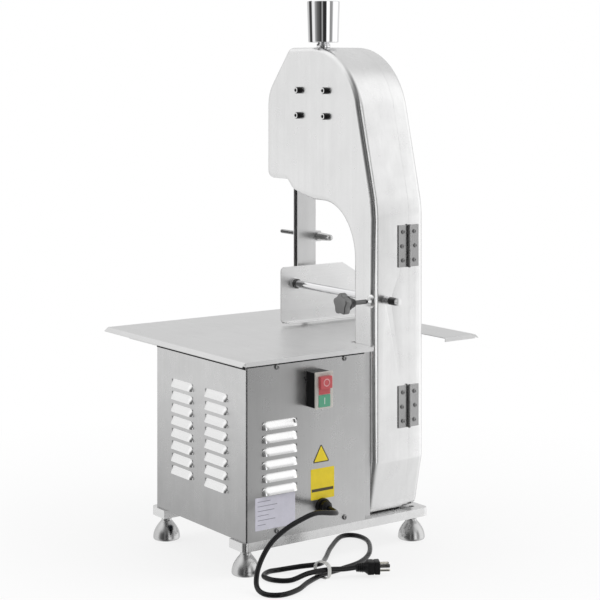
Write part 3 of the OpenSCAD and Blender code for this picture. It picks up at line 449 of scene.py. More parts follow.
casting_lo, casting_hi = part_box("frame_casting")
CASTING_DEPTH = 0.081
CAST_BACK = casting_lo.y + CASTING_DEPTH
skin("frame_casting", MAT["cast"], 0.0, 2, dissolve=False)
skin("door_shell", MAT["cast"], 0.0, 2, dissolve=False)
skin("base_frame", MAT["base"], 0.0012, 3)
skin("throat_panel", MAT["side"], 0.0004)
skin("table_plate", MAT["table"], 0.0003)
skin("table_ribs", MAT["base"], 0.0005)
for node, mat, bev in (
    ("foot_studs", "dark_steel", 0.0005), ("frame_bolts", "steel", 0.0007),
    ("blade_insert", "white", 0.0003), ("motor_housing", "paint", 0.001),
    ("motor_end_bells", "paint", 0.001), ("fan_cowl", "paint", 0.0008),
    ("motor_bolts", "steel", 0.0004), ("motor_bearings", "steel", 0.0005),
    ("capacitor", "base", 0.001), ("tension_guide", "steel", 0.0006),
    ("tension_bush", "chrome", 0.0006), ("hinge_pins", "dark_steel", 0.0004),
    ("lower_guide", "white", 0.0006), ("guide_bracket", "base", 0.0008),
    ("guide_rod", "chrome", 0.0005), ("tension_block", "steel", 0.0008),
    ("upper_axle", "steel", 0.0005), ("upper_wheel", "cast", 0.0008),
    ("upper_bearings", "steel", 0.0005), ("motor_rotor", "steel", 0.0006),
    ("motor_fan", "black", 0.0005), ("lower_wheel", "cast", 0.0008),
    ("wheel_key", "steel", 0.0004), ("wheel_bolt", "steel", 0.0006),
    ("blade_guard", "guard", 0.0007), ("guide_blocks", "black", 0.0004),
    ("door_latch", "steel", 0.0005), ("box_rails", "base", 0.0003),
    ("tension_screw", "steel", 0.0005), ("fence_lock_stud", "dark_steel", 0.0005),
    ("frame_hinge_leaves", "hinge", 0.0004), ("door_hinge_leaves", "hinge", 0.0004),
    ("switch_housing", "black", 0.0008),
):
    skin(node, MAT[mat], bev)

# Levelling feet: polished bells on a short neck
lo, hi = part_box("leveling_feet")
R = 0.024
FOOT = [(0, 0.0005), (0.0215, 0), (0.0232, 0.0008), (0.0240, 0.0026), (0.0240, 0.0052), (0.0237, 0.0085),
        (0.0230, 0.0118), (0.0219, 0.0151), (0.0204, 0.0184), (0.0185, 0.0217), (0.0163, 0.0249),
        (0.0139, 0.0280), (0.0117, 0.0306), (0.0102, 0.0324), (0.0094, 0.0338), (0.0091, 0.0352),
        (0.0090, hi.z - 0.0008), (0.0083, hi.z), (0.0052, hi.z)]
feet = []
for i, x in enumerate((lo.x + R, hi.x - R)):
    for j, y in enumerate((lo.y + R, hi.y - R)):
        feet.append(lathe(f"foot_{i}{j}", FOOT, Vector((x, y, 0)), Z, MAT["foot"], 72))
place(merge("feet_bells", feet), "frame", "leveling_feet", "leveling_feet")


# ---------------------------------------------------------------- louvred panels

def louvre(at, along, out, length, high, deep):
    """One pressed louvre: a hood with domed ends that opens downwards."""
    bm = bmesh.new()
    n_u, n_v, end, t = 36, 10, 0.0095, 0.0009
    grid = []
    for layer in (0, 1):
        rows = []
        for i in range(n_u + 1):
            u = (-0.5 + i / n_u) * length
            if i < 9 or i > n_u - 9:
                k = min(i, n_u - i) / 9
                u = math.copysign(length / 2 - end * (1 - math.cos(k * math.pi / 2)), i - n_u / 2)
                g = math.sin(k * math.pi / 2)
            else:
                u = (-1 + 2 * (i - 9) / (n_u - 18)) * (length / 2 - end)
                g = 1.0
            col = []
            for j in range(n_v + 1):
                s = j / n_v
                d = deep * g * (0.5 + 0.5 * math.cos(math.pi * s)) ** 0.72
                z = high * s * (0.3 + 0.7 * g)
                d = max(0.0001, d - layer * t * (1 if d > t else 0.5))
                col.append(bm.verts.new(at + along * u + out * d + Z * z))
            rows.append(col)
        grid.append(rows)
    for layer, rows in enumerate(grid):
        for i in range(n_u):
            for j in range(n_v):
                f = [rows[i][j], rows[i + 1][j], rows[i + 1][j + 1], rows[i][j + 1]]
                bm.faces.new(f if layer == 0 else f[::-1])
    for i in range(n_u):
        bm.faces.new([grid[0][i][0], grid[1][i][0], grid[1][i + 1][0], grid[0][i + 1][0]])
    return obj("louvre", bm, MAT["louvre"], 60, weighted=False)


lo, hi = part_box("rear_panel")
rear_plane = hi.y - 6.5 * MM
skin("rear_panel", MAT["rear"], 0.0012, 3, keep=lambda c: c.y < rear_plane + 0.00004, name="rear_sheet")
parts = []
for x in (-0.060, 0.050):
    for i in range(8):
        parts.append(louvre(Vector((x, rear_plane, 0.2845 - 0.022 * i)), -X, Y, 0.070, 0.0135, 0.0063))
place(merge("rear_louvres", parts), "frame", "rear_panel")

lo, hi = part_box("side_panel")
side_plane = lo.x + 6.5 * MM
skin("side_panel", MAT["side"], 0.0003, 2, keep=lambda c: c.x > side_plane - 0.00004, name="side_sheet")
parts = []
for i in range(6):
    parts.append(louvre(Vector((side_plane, 0.126, 0.2425 - 0.022 * i)), -Y, -X, 0.072, 0.0135, 0.0063))
place(merge("side_louvres", parts), "frame", "side_panel")

# Black strips of painted shadow: in the open joint between the rear and the side panel, and under the table's rim
side_lo, side_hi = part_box("side_panel")
rear_lo, rear_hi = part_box("rear_panel")
SHEET = 1.2 * MM
place(rounded_box("corner_seal", Vector((side_plane + 0.0003, side_hi.y + 0.00005, side_lo.z + 0.001)),
                  Vector((side_plane + 0.0013, rear_plane - SHEET - 0.00005, side_hi.z - 0.0005)),
                  0.0003, MAT["seal"], 2), "frame", "side_panel")
table_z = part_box("blade_insert")[0].z
seal = [rounded_box("s", Vector((side_plane - 0.0009, side_lo.y + 0.020, table_z - 0.0085)),
                    Vector((side_plane + 0.0004, side_hi.y, table_z - 0.0062)), 0.0003, MAT["seal"], 2),
        rounded_box("r", Vector((rear_lo.x + 0.0004, rear_plane - 0.0004, table_z - 0.0112)),
                    Vector((rear_hi.x - 0.0004, rear_plane + 0.0010, table_z - 0.0062)), 0.0003,
                    MAT["seal"], 2)]
place(merge("rim_seal", seal), "frame", "table_plate")


# ---------------------------------------------------------------- screws and bolts

def dome_screw(name, at, axis, r, h, mat, socket=0.5):
    """A domed head with a cross recess cut as a dark cup."""
    prof = [(r, 0.0), (r, h * 0.25)]
    for k in range(1, 6):
        a = math.radians(90 * k / 5)
        prof.append((r * (socket + (1 - socket) * math.cos(a)), h * (0.25 + 0.75 * math.sin(a))))
    prof += [(r * socket * 0.9, h * 0.98), (r * socket * 0.62, h * 0.35), (0, h * 0.2)]
    return lathe(name, prof, at, axis, mat, 24)


def clusters(node, gap=0.004):
    """Centres of the separate solids in a node, from its own vertices."""
    bm = bmesh.new()
    bm.from_mesh(frame["nodes"][node].data)
    bmesh.ops.remove_doubles(bm, verts=bm.verts, dist=3e-6)
    seen, out = set(), []
    for v in bm.verts:
        if v in seen:
            continue
        stack, group = [v], []
        seen.add(v)
        while stack:
            a = stack.pop()
            group.append(a.co.copy())
            for e in a.link_edges:
                b = e.other_vert(a)
                if b not in seen:
                    seen.add(b)
                    stack.append(b)
        lo = Vector([min(c[i] for c in group) for i in range(3)])
        hi = Vector([max(c[i] for c in group) for i in range(3)])
        out.append((lo, hi))
    bm.free()
    return out


parts = []
for lo, hi in clusters("panel_screws"):
    c = (lo + hi) / 2
    left = c.x < 0
    at = Vector((lo.x + 0.0028 if left else hi.x - 0.0028, c.y, c.z))
    parts.append(dome_screw("s", at, -X if left else X, 0.0048, 0.0028, MAT["screw"]))
place(merge("panel_screw_heads", parts), "frame", "panel_screws", "panel_screws")
for node in ("frame_hinge_screws", "door_hinge_screws"):
    parts = [dome_screw("s", Vector((lo.x + 0.0022, (lo.y + hi.y) / 2, (lo.z + hi.z) / 2)), -X,
                        0.0039, 0.0022, MAT["screw"]) for lo, hi in clusters(node)]
    place(merge(node + "_heads", parts), body_of[node], node, node)
parts = []
FACE = 0.009                  # height of a bolt's cap
CAP_FACE = [(0.0056, 0.0087), (0.0050, FACE), (0.0034, FACE), (0.0030, 0.0086)]
CAP_SIDE = [(0.0040, -0.0278), (0.0040, -0.0002), (0.0062, -0.0002), (0.0063, 0.0004), (0.0063, 0.0078),
            (0.0056, 0.0087)]
CAP_SOCKET = [(0.0030, 0.0086), (0.0030, 0.0050), (0, 0.0044)]
for lo, hi in clusters("head_bolts"):
    at = Vector(((lo.x + hi.x) / 2, hi.y - FACE, (lo.z + hi.z) / 2))
    for profile, mat in ((CAP_FACE, "bolt"), (CAP_SIDE, "black_steel"), (CAP_SOCKET, "black_steel")):
        parts.append(lathe("cap", profile, at, Y, MAT[mat], 40))
place(merge("head_bolt_caps", parts), "frame", "head_bolts", "head_bolts")


# ---------------------------------------------------------------- tension knob

lo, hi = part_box("tension_knob")
c = centre("tension_knob")
kb = hi.z - 0.0765
KNOB = [(0.0062, lo.z), (0.0126, lo.z), (0.0131, lo.z + 0.0010), (0.0127, lo.z + 0.0024),
        (0.0112, lo.z + 0.0040), (0.0104, kb - 0.0022), (0.0112, kb - 0.0010), (0.0200, kb - 0.0002), (0.0268, kb),
        (0.0277, kb + 0.0006), (0.0281, kb + 0.0016), (0.0290, kb + 0.030), (0.0303, kb + 0.072),
        (0.0305, kb + 0.0740), (0.0302, kb + 0.0755), (0.0294, kb + 0.0763), (0.0285, kb + 0.0765),
        (0.0270, kb + 0.0762), (0.0120, kb + 0.0758), (0, kb + 0.0758)]
place(lathe("knob_turned", KNOB, Vector((c.x, c.y, 0)), Z, MAT["knob_chrome"], 128, 30),
      "tension_handle", "tension_knob", "tension_knob")


# ---------------------------------------------------------------- saw blade with teeth

lo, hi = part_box("saw_blade")
r_in = (hi.x - lo.x) / 2 - 0.0006
cx, z0, z1 = (lo.x + hi.x) / 2, lo.z + r_in + 0.0006, hi.z - r_in - 0.0006
pitch, depth = 0.00635, 0.0028
straight = z1 - z0
total = 2 * straight + 2 * math.pi * r_in
count = round(total / pitch)
bm = bmesh.new()
rings = []


def loop_point(s, r):
    s %= total
    if s < straight:
        return Vector((cx + r, 0, z0 + s))
    s -= straight
    if s < math.pi * r_in:
        a = s / r_in
        return Vector((cx + r * math.cos(a), 0, z1 + r * math.sin(a)))
    s -= math.pi * r_in
    if s < straight:
        return Vector((cx - r, 0, z1 - s))
    a = math.pi + (s - straight) / r_in
    return Vector((cx + r * math.cos(a), 0, z0 + r * math.sin(a)))


for k in range(count):
    for part, y in ((0.0, lo.y), (0.32, lo.y + depth), (0.55, lo.y + depth)):
        s = total * (k + part) / count
        rings.append([bm.verts.new(loop_point(s, r) + Y * yy)
                      for r, yy in ((r_in, hi.y), (r_in + 0.0006, hi.y), (r_in + 0.0006, y), (r_in, y))])
for i, a in enumerate(rings):
    b = rings[(i + 1) % len(rings)]
    for k in range(4):
        j = (k + 1) % 4
        bm.faces.new([a[k], b[k], b[j], a[j]])
place(obj("toothed_band", bm, MAT["blade"], 25, weighted=False), "frame", "saw_blade", "saw_blade")


# ---------------------------------------------------------------- guard lock

lo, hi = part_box("guard_lock_grip")
c = centre("guard_lock_grip")
GRIP = [(0.0041, 0), (0.0074, 0), (0.0080, 0.0006), (0.0080, 0.0030), (0.0077, 0.010), (0.0071, 0.022),
        (0.0062, 0.034), (0.0057, 0.0385), (0.0048, 0.0405), (0.0032, 0.0416), (0, 0.042)]
place(lathe("lock_grip", GRIP, Vector((hi.x, c.y, c.z)), -X, MAT["steel"], 48),
      "guard_lock", "guard_lock_grip", "guard_lock_grip")

lo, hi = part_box("guard_lock_screw")
c = centre("guard_lock_screw")
prof = [(0, 0), (0.0032, 0.0002), (0.0038, 0.0010)]
h = 0.0014
while h < hi.x - lo.x - 0.0024:
    prof += [(0.0040, h), (0.00345, h + 0.00062)]
    h += 0.00125
prof += [(0.0038, hi.x - lo.x - 0.0010), (0.0032, hi.x - lo.x - 0.0002), (0, hi.x - lo.x)]
place(lathe("lock_thread", prof, Vector((lo.x, c.y, c.z)), X, MAT["steel"], 28, 20),
      "guard_lock", "guard_lock_screw", "guard_lock_screw")


# ---------------------------------------------------------------- fence

skin("fence_plate", MAT["fence"], 0.0008, 3)
lo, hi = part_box("fence_rod")
c = centre("fence_rod")
r, L = (hi.z - lo.z) / 2, hi.x - lo.x
STUB = 0.024
stub = [(0, 0), (r - 0.0014, 0), (r - 0.0004, 0.0005), (r - 0.0002, 0.0014), (r - 0.0002, 0.0050)]
thread = [(r - 0.0002, 0.0050)]
for k in range(12):
    h = 0.0052 + k * 0.0015
    thread += [(r - 0.0011, h + 0.0004), (r - 0.0002, h + 0.0011)]
thread.append((r - 0.0002, STUB))
shank = [(r - 0.0002, STUB), (r, STUB + 0.0004), (r, L - 0.0012), (r - 0.0012, L), (0, L)]
at = Vector((lo.x, c.y, c.z))
# The threaded part is dark steel: a real thread, darkened further as painted shade for the shadow next to the casting
parts = [lathe("end", stub, at, X, MAT["bolt"], 64), lathe("thread", thread, at, X, MAT["dark_steel"], 64),
         lathe("shank", shank, at, X, MAT["chrome"], 64)]
place(merge("fence_rod_turned", parts), "fence", "fence_rod", "fence_rod")
flo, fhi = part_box("fence_plate")
COLLAR = [(r, 0), (r + 0.0018, 0.0002), (r + 0.0024, 0.0010), (r + 0.0024, 0.0052), (r + 0.0018, 0.0060),
          (r, 0.0062)]
place(lathe("rod_collar", COLLAR, Vector((fhi.x - 0.0116, c.y, c.z)), X, MAT["dark_steel"], 48),
      "fence", "fence_plate")

lo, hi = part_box("fence_lock_knob")
c = centre("fence_lock_knob")
stud = centre("fence_lock_stud")
bm = bmesh.new()
n = 100
levels = [(0.0, 0.55), (0.0, 0.86), (0.0008, 0.955), (0.0022, 1.0), (0.0115, 1.0), (0.0130, 0.955), (0.0139, 0.86),
          (0.0142, 0.72)]
rows = []
R0 = (hi.z - lo.z) / 2
for h, k in levels:
    row = []
    for i in range(n):
        a = 2 * math.pi * i / n
        wave = 0.5 + 0.5 * math.cos(5 * (a - math.radians(18)))
        rr = R0 * (0.80 + 0.20 * wave ** 1.2)
        rr = rr * k
        row.append(bm.verts.new(Vector((stud.x - rr * math.cos(a), hi.y - h, stud.z + rr * math.sin(a)))))
    rows.append(row)
for a, b in zip(rows, rows[1:]):
    for i in range(n):
        j = (i + 1) % n
        bm.faces.new([a[i], a[j], b[j], b[i]])
bm.faces.new(rows[0])
bm.faces.new(rows[-1][::-1])
star = obj("star", bm, MAT["knob"], 50)
HUB = [(0.0150, 0.0139), (0.0152, 0.0150), (0.0130, 0.0185), (0.0100, 0.024), (0.0082, 0.029), (0.0072, 0.0315),
       (0.0064, 0.032), (0.0041, 0.032)]
hub = lathe("hub", HUB, Vector((stud.x, hi.y, stud.z)), -Y, MAT["knob_hub"], 48)
place(merge("star_knob", [star, hub]), "fence_lock", "fence_lock_knob", "fence_lock_knob")

# Conical boss that the lock stud screws into, at the back of the casting
BOSS = [(0.0125, -0.0012), (0.0105, 0.0004), (0.0090, 0.0022), (0.0080, 0.0048), (0.0073, 0.0078),
        (0.0066, 0.0090), (0.0056, 0.0094), (0.0042, 0.0094)]
place(lathe("stud_boss", BOSS, Vector((stud.x, CAST_BACK, stud.z)), Y, MAT["cast"], 64), "frame", "frame_casting")


# ---------------------------------------------------------------- switch

lo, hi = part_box("switch_bezel")
bez = rounded_box("cover_frame", lo, hi, 0.0011, MAT["clear"])
place(bez, "frame", "switch_bezel", "switch_bezel")
for node, mat in (("stop_button", "red"), ("start_button", "green")):
    lo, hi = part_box(node)
    parts = [rounded_box("b", lo, hi, 0.0013, MAT[mat], 4)]
    c = (lo + hi) / 2
    if node == "stop_button":
        parts.append(torus("o", Vector((lo.x + 0.0001, c.y, c.z)), X, 0.0058, 0.0008, MAT["pale_red"]))
    else:
        parts.append(rounded_box("i", Vector((lo.x - 0.0003, c.y - 0.0007, c.z - 0.0055)),
                                 Vector((lo.x + 0.001, c.y + 0.0007, c.z + 0.0055)), 0.0003, MAT["mark"]))
    place(merge(node + "_cap", parts), body_of[node], node, node)
slo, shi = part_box("start_button")
tlo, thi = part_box("stop_button")
blo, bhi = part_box("switch_bezel")
place(rounded_box("red_zone", Vector((blo.x - 0.0006, slo.y + 0.0005, shi.z + 0.0006)),
                  Vector((blo.x + 0.001, shi.y - 0.0005, tlo.z - 0.0006)), 0.0003, MAT["red"]), "frame", "switch_bezel")


# ---------------------------------------------------------------- gland, cord and plug

lo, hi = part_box("cable_gland")
c = centre("cable_gland")
GLAND = [(0.0045, 0), (0.0062, 0.0001), (0.0076, 0.0010), (0.0086, 0.0028), (0.0092, 0.0046), (0.0106, 0.0050),
         (0.0111, 0.0058), (0.0111, 0.0130), (0.0108, 0.0136), (0.0132, 0.0139), (0.0139, 0.0146), (0.0140, 0.0160),
         (0.0140, 0.0198), (0.0100, 0.0199), (0.0100, 0.0330), (0.0045, 0.0330)]
gl = lathe("gland_body", GLAND, Vector((lo.x, c.y, c.z)), X, MAT["black"], 60)
ribs = []
for k in range(12):
    a = 2 * math.pi * k / 12
    p = Vector((lo.x + 0.0095, c.y + 0.0110 * math.cos(a), c.z + 0.0110 * math.sin(a)))
    ribs.append(lathe("rib", [(0, -0.0035), (0.0007, -0.0033), (0.0009, -0.0028), (0.0009, 0.0028), (0.0007, 0.0033), (0, 0.0035)],
                      p, X, MAT["black"], 8))
nut = lathe("nut", [(0.0102, 0.0212), (0.0132, 0.0212), (0.0136, 0.0216), (0.0136, 0.0258), (0.0132, 0.0262), (0.0102, 0.0262)],
            Vector((lo.x, c.y, c.z)), X, MAT["black"], 6, 20)
place(merge("gland", [gl, nut] + ribs), "frame", "cable_gland", "cable_gland")

gy, gz, sx = c.y, c.z, side_plane
CORD = [(sx + 0.008, gy, gz), (sx - 0.022, gy, gz), (sx - 0.046, gy + 0.004, gz - 0.001)] + [
    (x * MM, y * MM, z * MM) for x, y, z in (
        (-210, 60, 101), (-213, 95, 107), (-212, 125, 101), (-211, 158, 89), (-210, 188, 69),
        (-211, 210, 38), (-222, 222, 12), (-246, 223, 4.6), (-266, 203, 4.6), (-260, 167, 4.6),
        (-238, 130, 4.6), (-220, 88, 4.6), (-212, 40, 4.6), (-200, -8, 4.6), (-166, -54, 4.6),
        (-110, -94, 4.6), (-70, -98, 4.6), (-60, -72, 4.6), (-104, -16, 4.6), (-160, 38, 8),
        (-196, 76, 15), (-178, 104, 11), (-156, 128, 4.6), (-154, 152, 4.6), (-170, 172, 4.6),
        (-196, 170, 4.6), (-214, 148, 5), (-222, 118, 13), (-230, 84, 15), (-240, 58, 14),
        (-247, 40, 15))]
cu = bpy.data.curves.new("cord_line", "CURVE")
cu.dimensions = "3D"
sp = cu.splines.new("BEZIER")
sp.bezier_points.add(len(CORD) - 1)
P = [Vector(p) for p in CORD]
for i, b in enumerate(sp.bezier_points):
    t = (P[min(i + 1, len(P) - 1)] - P[max(i - 1, 0)]) / 6
    b.co, b.handle_left, b.handle_right = P[i], P[i] - t, P[i] + t
sp.resolution_u = 12
cu.bevel_depth = 0.00425
cu.bevel_resolution = 6
cord = bpy.data.objects.new("cord_line", cu)
bpy.context.scene.collection.objects.link(cord)
bpy.context.view_layer.update()
cord_mesh = bpy.data.meshes.new_from_object(cord.evaluated_get(bpy.context.evaluated_depsgraph_get()))
bpy.data.objects.remove(cord)
place(finish("cord", cord_mesh, MAT["rubber"], 60, weighted=False), "frame", "power_cord", "power_cord")

plo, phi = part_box("plug_body")
plug_at = Vector((-0.2475, 0.039, 0.015))
d = Vector((math.cos(math.radians(-120)), math.sin(math.radians(-120)), 0))
side = Vector((-d.y, d.x, 0))


def loft(name, sections, mat, n=40, smooth=30):
    """sections are (distance, half width, half height, squareness, lift) along the plug."""
    bm = bmesh.new()
    rows = []
    for s, w, h, sq, lift in sections:
        row = []
        for i in range(n):
            a = 2 * math.pi * i / n
            ca, sa = math.cos(a), math.sin(a)
            k = (abs(ca) ** sq + abs(sa) ** sq) ** (-1 / sq)
            row.append(bm.verts.new(plug_at + d * s + side * (w * k * ca) + Z * (h * k * sa + lift)))
        rows.append(row)
    for a, b in zip(rows, rows[1:]):
        for i in range(n):
            j = (i + 1) % n
            bm.faces.new([a[i], a[j], b[j], b[i]])
    bm.faces.new(rows[0][::-1])
    bm.faces.new(rows[-1])
    return obj(name, bm, mat, smooth)


parts = [loft("plug", [(0.0, 0.0052, 0.0052, 2, 0), (0.0005, 0.0060, 0.0060, 2, 0), (0.0125, 0.0074, 0.0072, 2, 0),
                       (0.0145, 0.0080, 0.0080, 2.3, 0), (0.0175, 0.0100, 0.0096, 3, 0), (0.0195, 0.0116, 0.0108, 5, 0),
                       (0.0205, 0.0119, 0.0110, 7, 0), (0.0295, 0.0117, 0.0109, 7, 0), (0.0300, 0.0108, 0.0100, 6, 0),
                       (0.0308, 0.0108, 0.0100, 6, 0), (0.0313, 0.0116, 0.0108, 7, 0), (0.0385, 0.0119, 0.0110, 8, 0),
                       (0.0395, 0.0116, 0.0107, 8, 0), (0.0400, 0.0108, 0.0100, 7, 0)], MAT["black"])]
for s in (0.0020, 0.0052, 0.0084, 0.0116):
    parts.append(torus("r", plug_at + d * s, d, 0.0062 + s * 0.10, 0.00115, MAT["black"], 40, 10))
place(merge("plug", parts), "frame", "plug_body", "plug_body")
parts = []
for k in (-1, 1):
    o = plug_at + side * (k * 0.00635 - 0.00075) + d * 0.0395
    out = [(0, 0), (0.0162, 0), (0.0174, 0.0009), (0.0174, 0.0054), (0.0162, 0.0063), (0, 0.0063)]
    parts.append(plate("blade", out, o + side * 0.0015, d, Z, 0.0015, MAT["prong"], 0.0002))
PIN = [(0.0024, 0), (0.0024, 0.0170), (0.0019, 0.0184), (0.0010, 0.0192), (0, 0.0194)]
parts.append(lathe("pin", PIN, plug_at - Z * 0.006 + d * 0.0395, d, MAT["prong"], 24))
place(merge("prongs", parts), "frame", "plug_prongs", "plug_prongs")

# Twist tie round the bundle
tie = []
for i, (w, h, lift) in enumerate(((0.031, 0.0155, 0.0), (0.0305, 0.015, 0.0))):
    at = Vector((-0.222, 0.088, 0.0135 + lift))
    bm = bmesh.new()
    rows = []
    for k in range(48):
        a = 2 * math.pi * k / 48
        u = Vector((1.0, 0.25, 0)).normalized()
        v = Z
        p = at + u * (w * 0.5 * abs(math.cos(a)) ** 0.7 * math.copysign(1, math.cos(a))) + v * (
            h * 0.9 * abs(math.sin(a)) ** 0.7 * math.copysign(1, math.sin(a)))
        p.z = max(p.z, 0.0012)
        f = Vector((-0.25, 1.0, 0)).normalized()
        c0 = (p - at).normalized()
        rows.append([bm.verts.new(p + f * (0.0022 * sx_) + c0 * (0.0006 * sy_) + f * (i * 0.0035))
                     for sx_, sy_ in ((-1, -1), (1, -1), (1, 1), (-1, 1))])
    for k in range(48):
        a, b = rows[k], rows[(k + 1) % 48]
        for j in range(4):
            m = (j + 1) % 4
            bm.faces.new([a[j], a[m], b[m], b[j]])
    tie.append(obj("loop", bm, MAT["tie"], 50))
place(merge("cord_tie", tie), "frame", "power_cord")


# ---------------------------------------------------------------- blank stickers

def sticker_mat(name, ground, rough=0.38, coat=0.2):
    n = Nodes(name)
    wear = n.span(n.noise(60.0, 6.0, 0.6), 0.35, 0.7, 0.0, 1.0)
    worn = [g * 0.9 for g in ground]
    return n.set(color=n.mix(wear, (*ground, 1), (*worn, 1)), rough=rough, coat=coat, coat_rough=0.2)


MAT["sticker_yel"] = sticker_mat("yellow_label", (0.86, 0.66, 0.005))
MAT["sticker_ink"] = sticker_mat("label_border", (0.05, 0.04, 0.01))
MAT["sticker_grey"] = sticker_mat("label_bar", (0.30, 0.29, 0.36))
MAT["sticker_white"] = sticker_mat("white_label", (0.70, 0.69, 0.78), 0.4, 0.1)


def sticker(name, pts, mat, lift=0.00022):
    """pts are (y, z) in metres on the hinge side of the box."""
    bm = bmesh.new()
    a = [bm.verts.new((side_plane - lift, y, z)) for y, z in pts]
    b = [bm.verts.new((side_plane - 0.00003, y, z)) for y, z in pts]
    bm.faces.new(a)
    bm.faces.new(b[::-1])
    k = len(pts)
    for i in range(k):
        j = (i + 1) % k
        bm.faces.new([a[i], b[i], b[j], a[j]])
    return obj(name, bm, mat, 30, weighted=False)


def round_poly(corners, r, seg=5):
    pts = []
    k = len(corners)
    for i in range(k):
        b = Vector(corners[i])
        u = (Vector(corners[i - 1]) - b).normalized()
        v = (Vector(corners[(i + 1) % k]) - b).normalized()
        half = u.angle(v) / 2
        t = r / math.tan(half)
        m = b + (u + v).normalized() * (r / math.sin(half))
        p0, p1 = b + u * t - m, b + v * t - m
        ang = p0.angle_signed(p1)
        for q in range(seg + 1):
            a = -ang * q / seg
            pts.append(tuple(m + Vector((p0.x * math.cos(a) - p0.y * math.sin(a),
                                         p0.x * math.sin(a) + p0.y * math.cos(a)))))
    return pts


ty, tz, tw, th = 0.039, 0.172, 0.036, 0.032
tri = [(ty - tw / 2, tz), (ty + tw / 2, tz), (ty, tz + th)]
tri_in = [(ty - tw / 2 + 0.0032, tz + 0.0018), (ty + tw / 2 - 0.0032, tz + 0.0018), (ty, tz + th - 0.0037)]
parts = [sticker("t", round_poly(tri, 0.002), MAT["sticker_ink"]),
         sticker("u", round_poly(tri_in, 0.001), MAT["sticker_yel"], 0.00030)]
place(merge("triangle_sticker", parts), "frame", "side_panel")


def bar(y0, z0, y1, z1, mat):
    return sticker("bar", [(y0, z0), (y1, z0), (y1, z1), (y0, z1)], MAT[mat], 0.00032)


# The labels carry plain bars only
parts = [sticker("y", round_poly([(0.011, 0.109), (0.061, 0.109), (0.061, 0.162), (0.011, 0.162)], 0.0015),
                 MAT["sticker_yel"]), bar(0.013, 0.1225, 0.059, 0.1275, "sticker_ink")]
place(merge("yellow_sticker", parts), "frame", "side_panel")
parts = [sticker("w", round_poly([(0.094, 0.075), (0.176, 0.075), (0.176, 0.130), (0.094, 0.130)], 0.0010),
                 MAT["sticker_white"])]
for k, length in enumerate((0.026, 0.040, 0.034, 0.022, 0.036, 0.016)):
    z = 0.1225 - k * 0.0078
    parts.append(bar(0.171 - length, z, 0.171, z + 0.0011, "sticker_grey"))
place(merge("white_sticker", parts), "frame", "side_panel")


# ---------------------------------------------------------------- studio

def studio_floor():
    bm = bmesh.new()
    bmesh.ops.create_grid(bm, x_segments=2, y_segments=2, size=9.0)
    bmesh.ops.translate(bm, vec=(0, 0, -0.0002), verts=bm.verts)
    n = Nodes("pale_floor")
    n.set(color=n.mix(n.noise(3.0), (0.90, 0.90, 0.90, 1), (0.93, 0.93, 0.93, 1)), rough=0.6, spec=0.15)
    glow = n.add("ShaderNodeEmission")
    far = n.add("ShaderNodeVectorMath", operation="LENGTH")
    n.link(n.coord, far.inputs[0])
    mixer = n.add("ShaderNodeMixShader")
    n.link(n.span(far.outputs["Value"], 0.25, 1.1, 0.80, 1.0), mixer.inputs[0])
    n.link(n.bsdf.outputs[0], mixer.inputs[1])
    n.link(glow.outputs[0], mixer.inputs[2])
    n.link(mixer.outputs[0], n.out.inputs["Surface"])
    ob = obj("studio_floor", bm, n.mat, weighted=False)
    ob.visible_glossy = False


studio_floor()

world = bpy.data.worlds.new("studio")
bpy.context.scene.world = world
world.use_nodes = True
wt = world.node_tree
wt.nodes.clear()


def wnode(kind, **props):
    node = wt.nodes.new(kind)
    for k, v in props.items():
        setattr(node, k, v)
    return node


def wmath(op, a, b=0.0, c=None, clamp=False):
    node = wnode("ShaderNodeMath", operation=op, use_clamp=clamp)
    for i, v in enumerate((a, b) if c is None else (a, b, c)):
        if isinstance(v, bpy.types.NodeSocket):
            wt.links.new(v, node.inputs[i])
        else:
            node.inputs[i].default_value = v
    return node.outputs[0]


tc = wnode("ShaderNodeTexCoord")
sep = wnode("ShaderNodeSeparateXYZ")
wt.links.new(tc.outputs["Generated"], sep.inputs[0])
vx, vy, vz = sep.outputs
# signed angle about Z from the camera's side, in degrees
c0, s0 = to_camera.x, to_camera.y
along = wmath("ADD", wmath("MULTIPLY", vx, c0), wmath("MULTIPLY", vy, s0))
across = wmath("SUBTRACT", wmath("MULTIPLY", vy, c0), wmath("MULTIPLY", vx, s0))
azim = wmath("MULTIPLY", wmath("ARCTAN2", across, along), 180 / math.pi)
elev = wmath("MULTIPLY", wmath("ARCSINE", vz), 180 / math.pi)


def ramp(value, stops, top=1.4):
    """Brightness at each value, from (value, brightness) stops, scaled to fit a colour ramp."""
    lo_, hi_ = stops[0][0], stops[-1][0]
    node = wnode("ShaderNodeValToRGB")
    wt.links.new(wmath("DIVIDE", wmath("SUBTRACT", value, lo_), hi_ - lo_), node.inputs[0])
    el = node.color_ramp.elements
    while len(el) < len(stops):
        el.new(0.5)
    for e, (v, k) in zip(el, stops):
        e.position = (v - lo_) / (hi_ - lo_)
        e.color = (k / top, k / top, k / top, 1)
    return wmath("MULTIPLY", node.outputs[0], top)


# Softboxes and the dark gaps between them round the horizon; 0 is behind the camera
WALLS = [(-180, 0.72), (-128, 0.80), (-98, 0.90), (-70, 0.95),
         (-64, 0.40), (-45, 0.14), (-17, 0.03), (-12, 0.35), (-6, 0.35), (-3, 0.03), (20, 0.03),
         (25, 1.20), (43, 1.20), (48, 0.28), (66, 0.36), (76, 1.15), (121, 1.15), (131, 0.80), (180, 0.72)]
CEILING = [(-180, 0.9), (-130, 1.1), (-60, 1.0), (-25, 0.30), (0, 0.16), (25, 0.30), (60, 1.0), (95, 1.1),
           (122, 0.72), (180, 0.75)]
GROUND = [(-180, 0.85), (-65, 0.80), (-35, 0.22), (0, 0.12), (30, 0.22), (60, 0.75), (180, 0.85)]
walls = ramp(azim, WALLS)
ceiling = ramp(azim, CEILING)
ground = ramp(azim, GROUND)


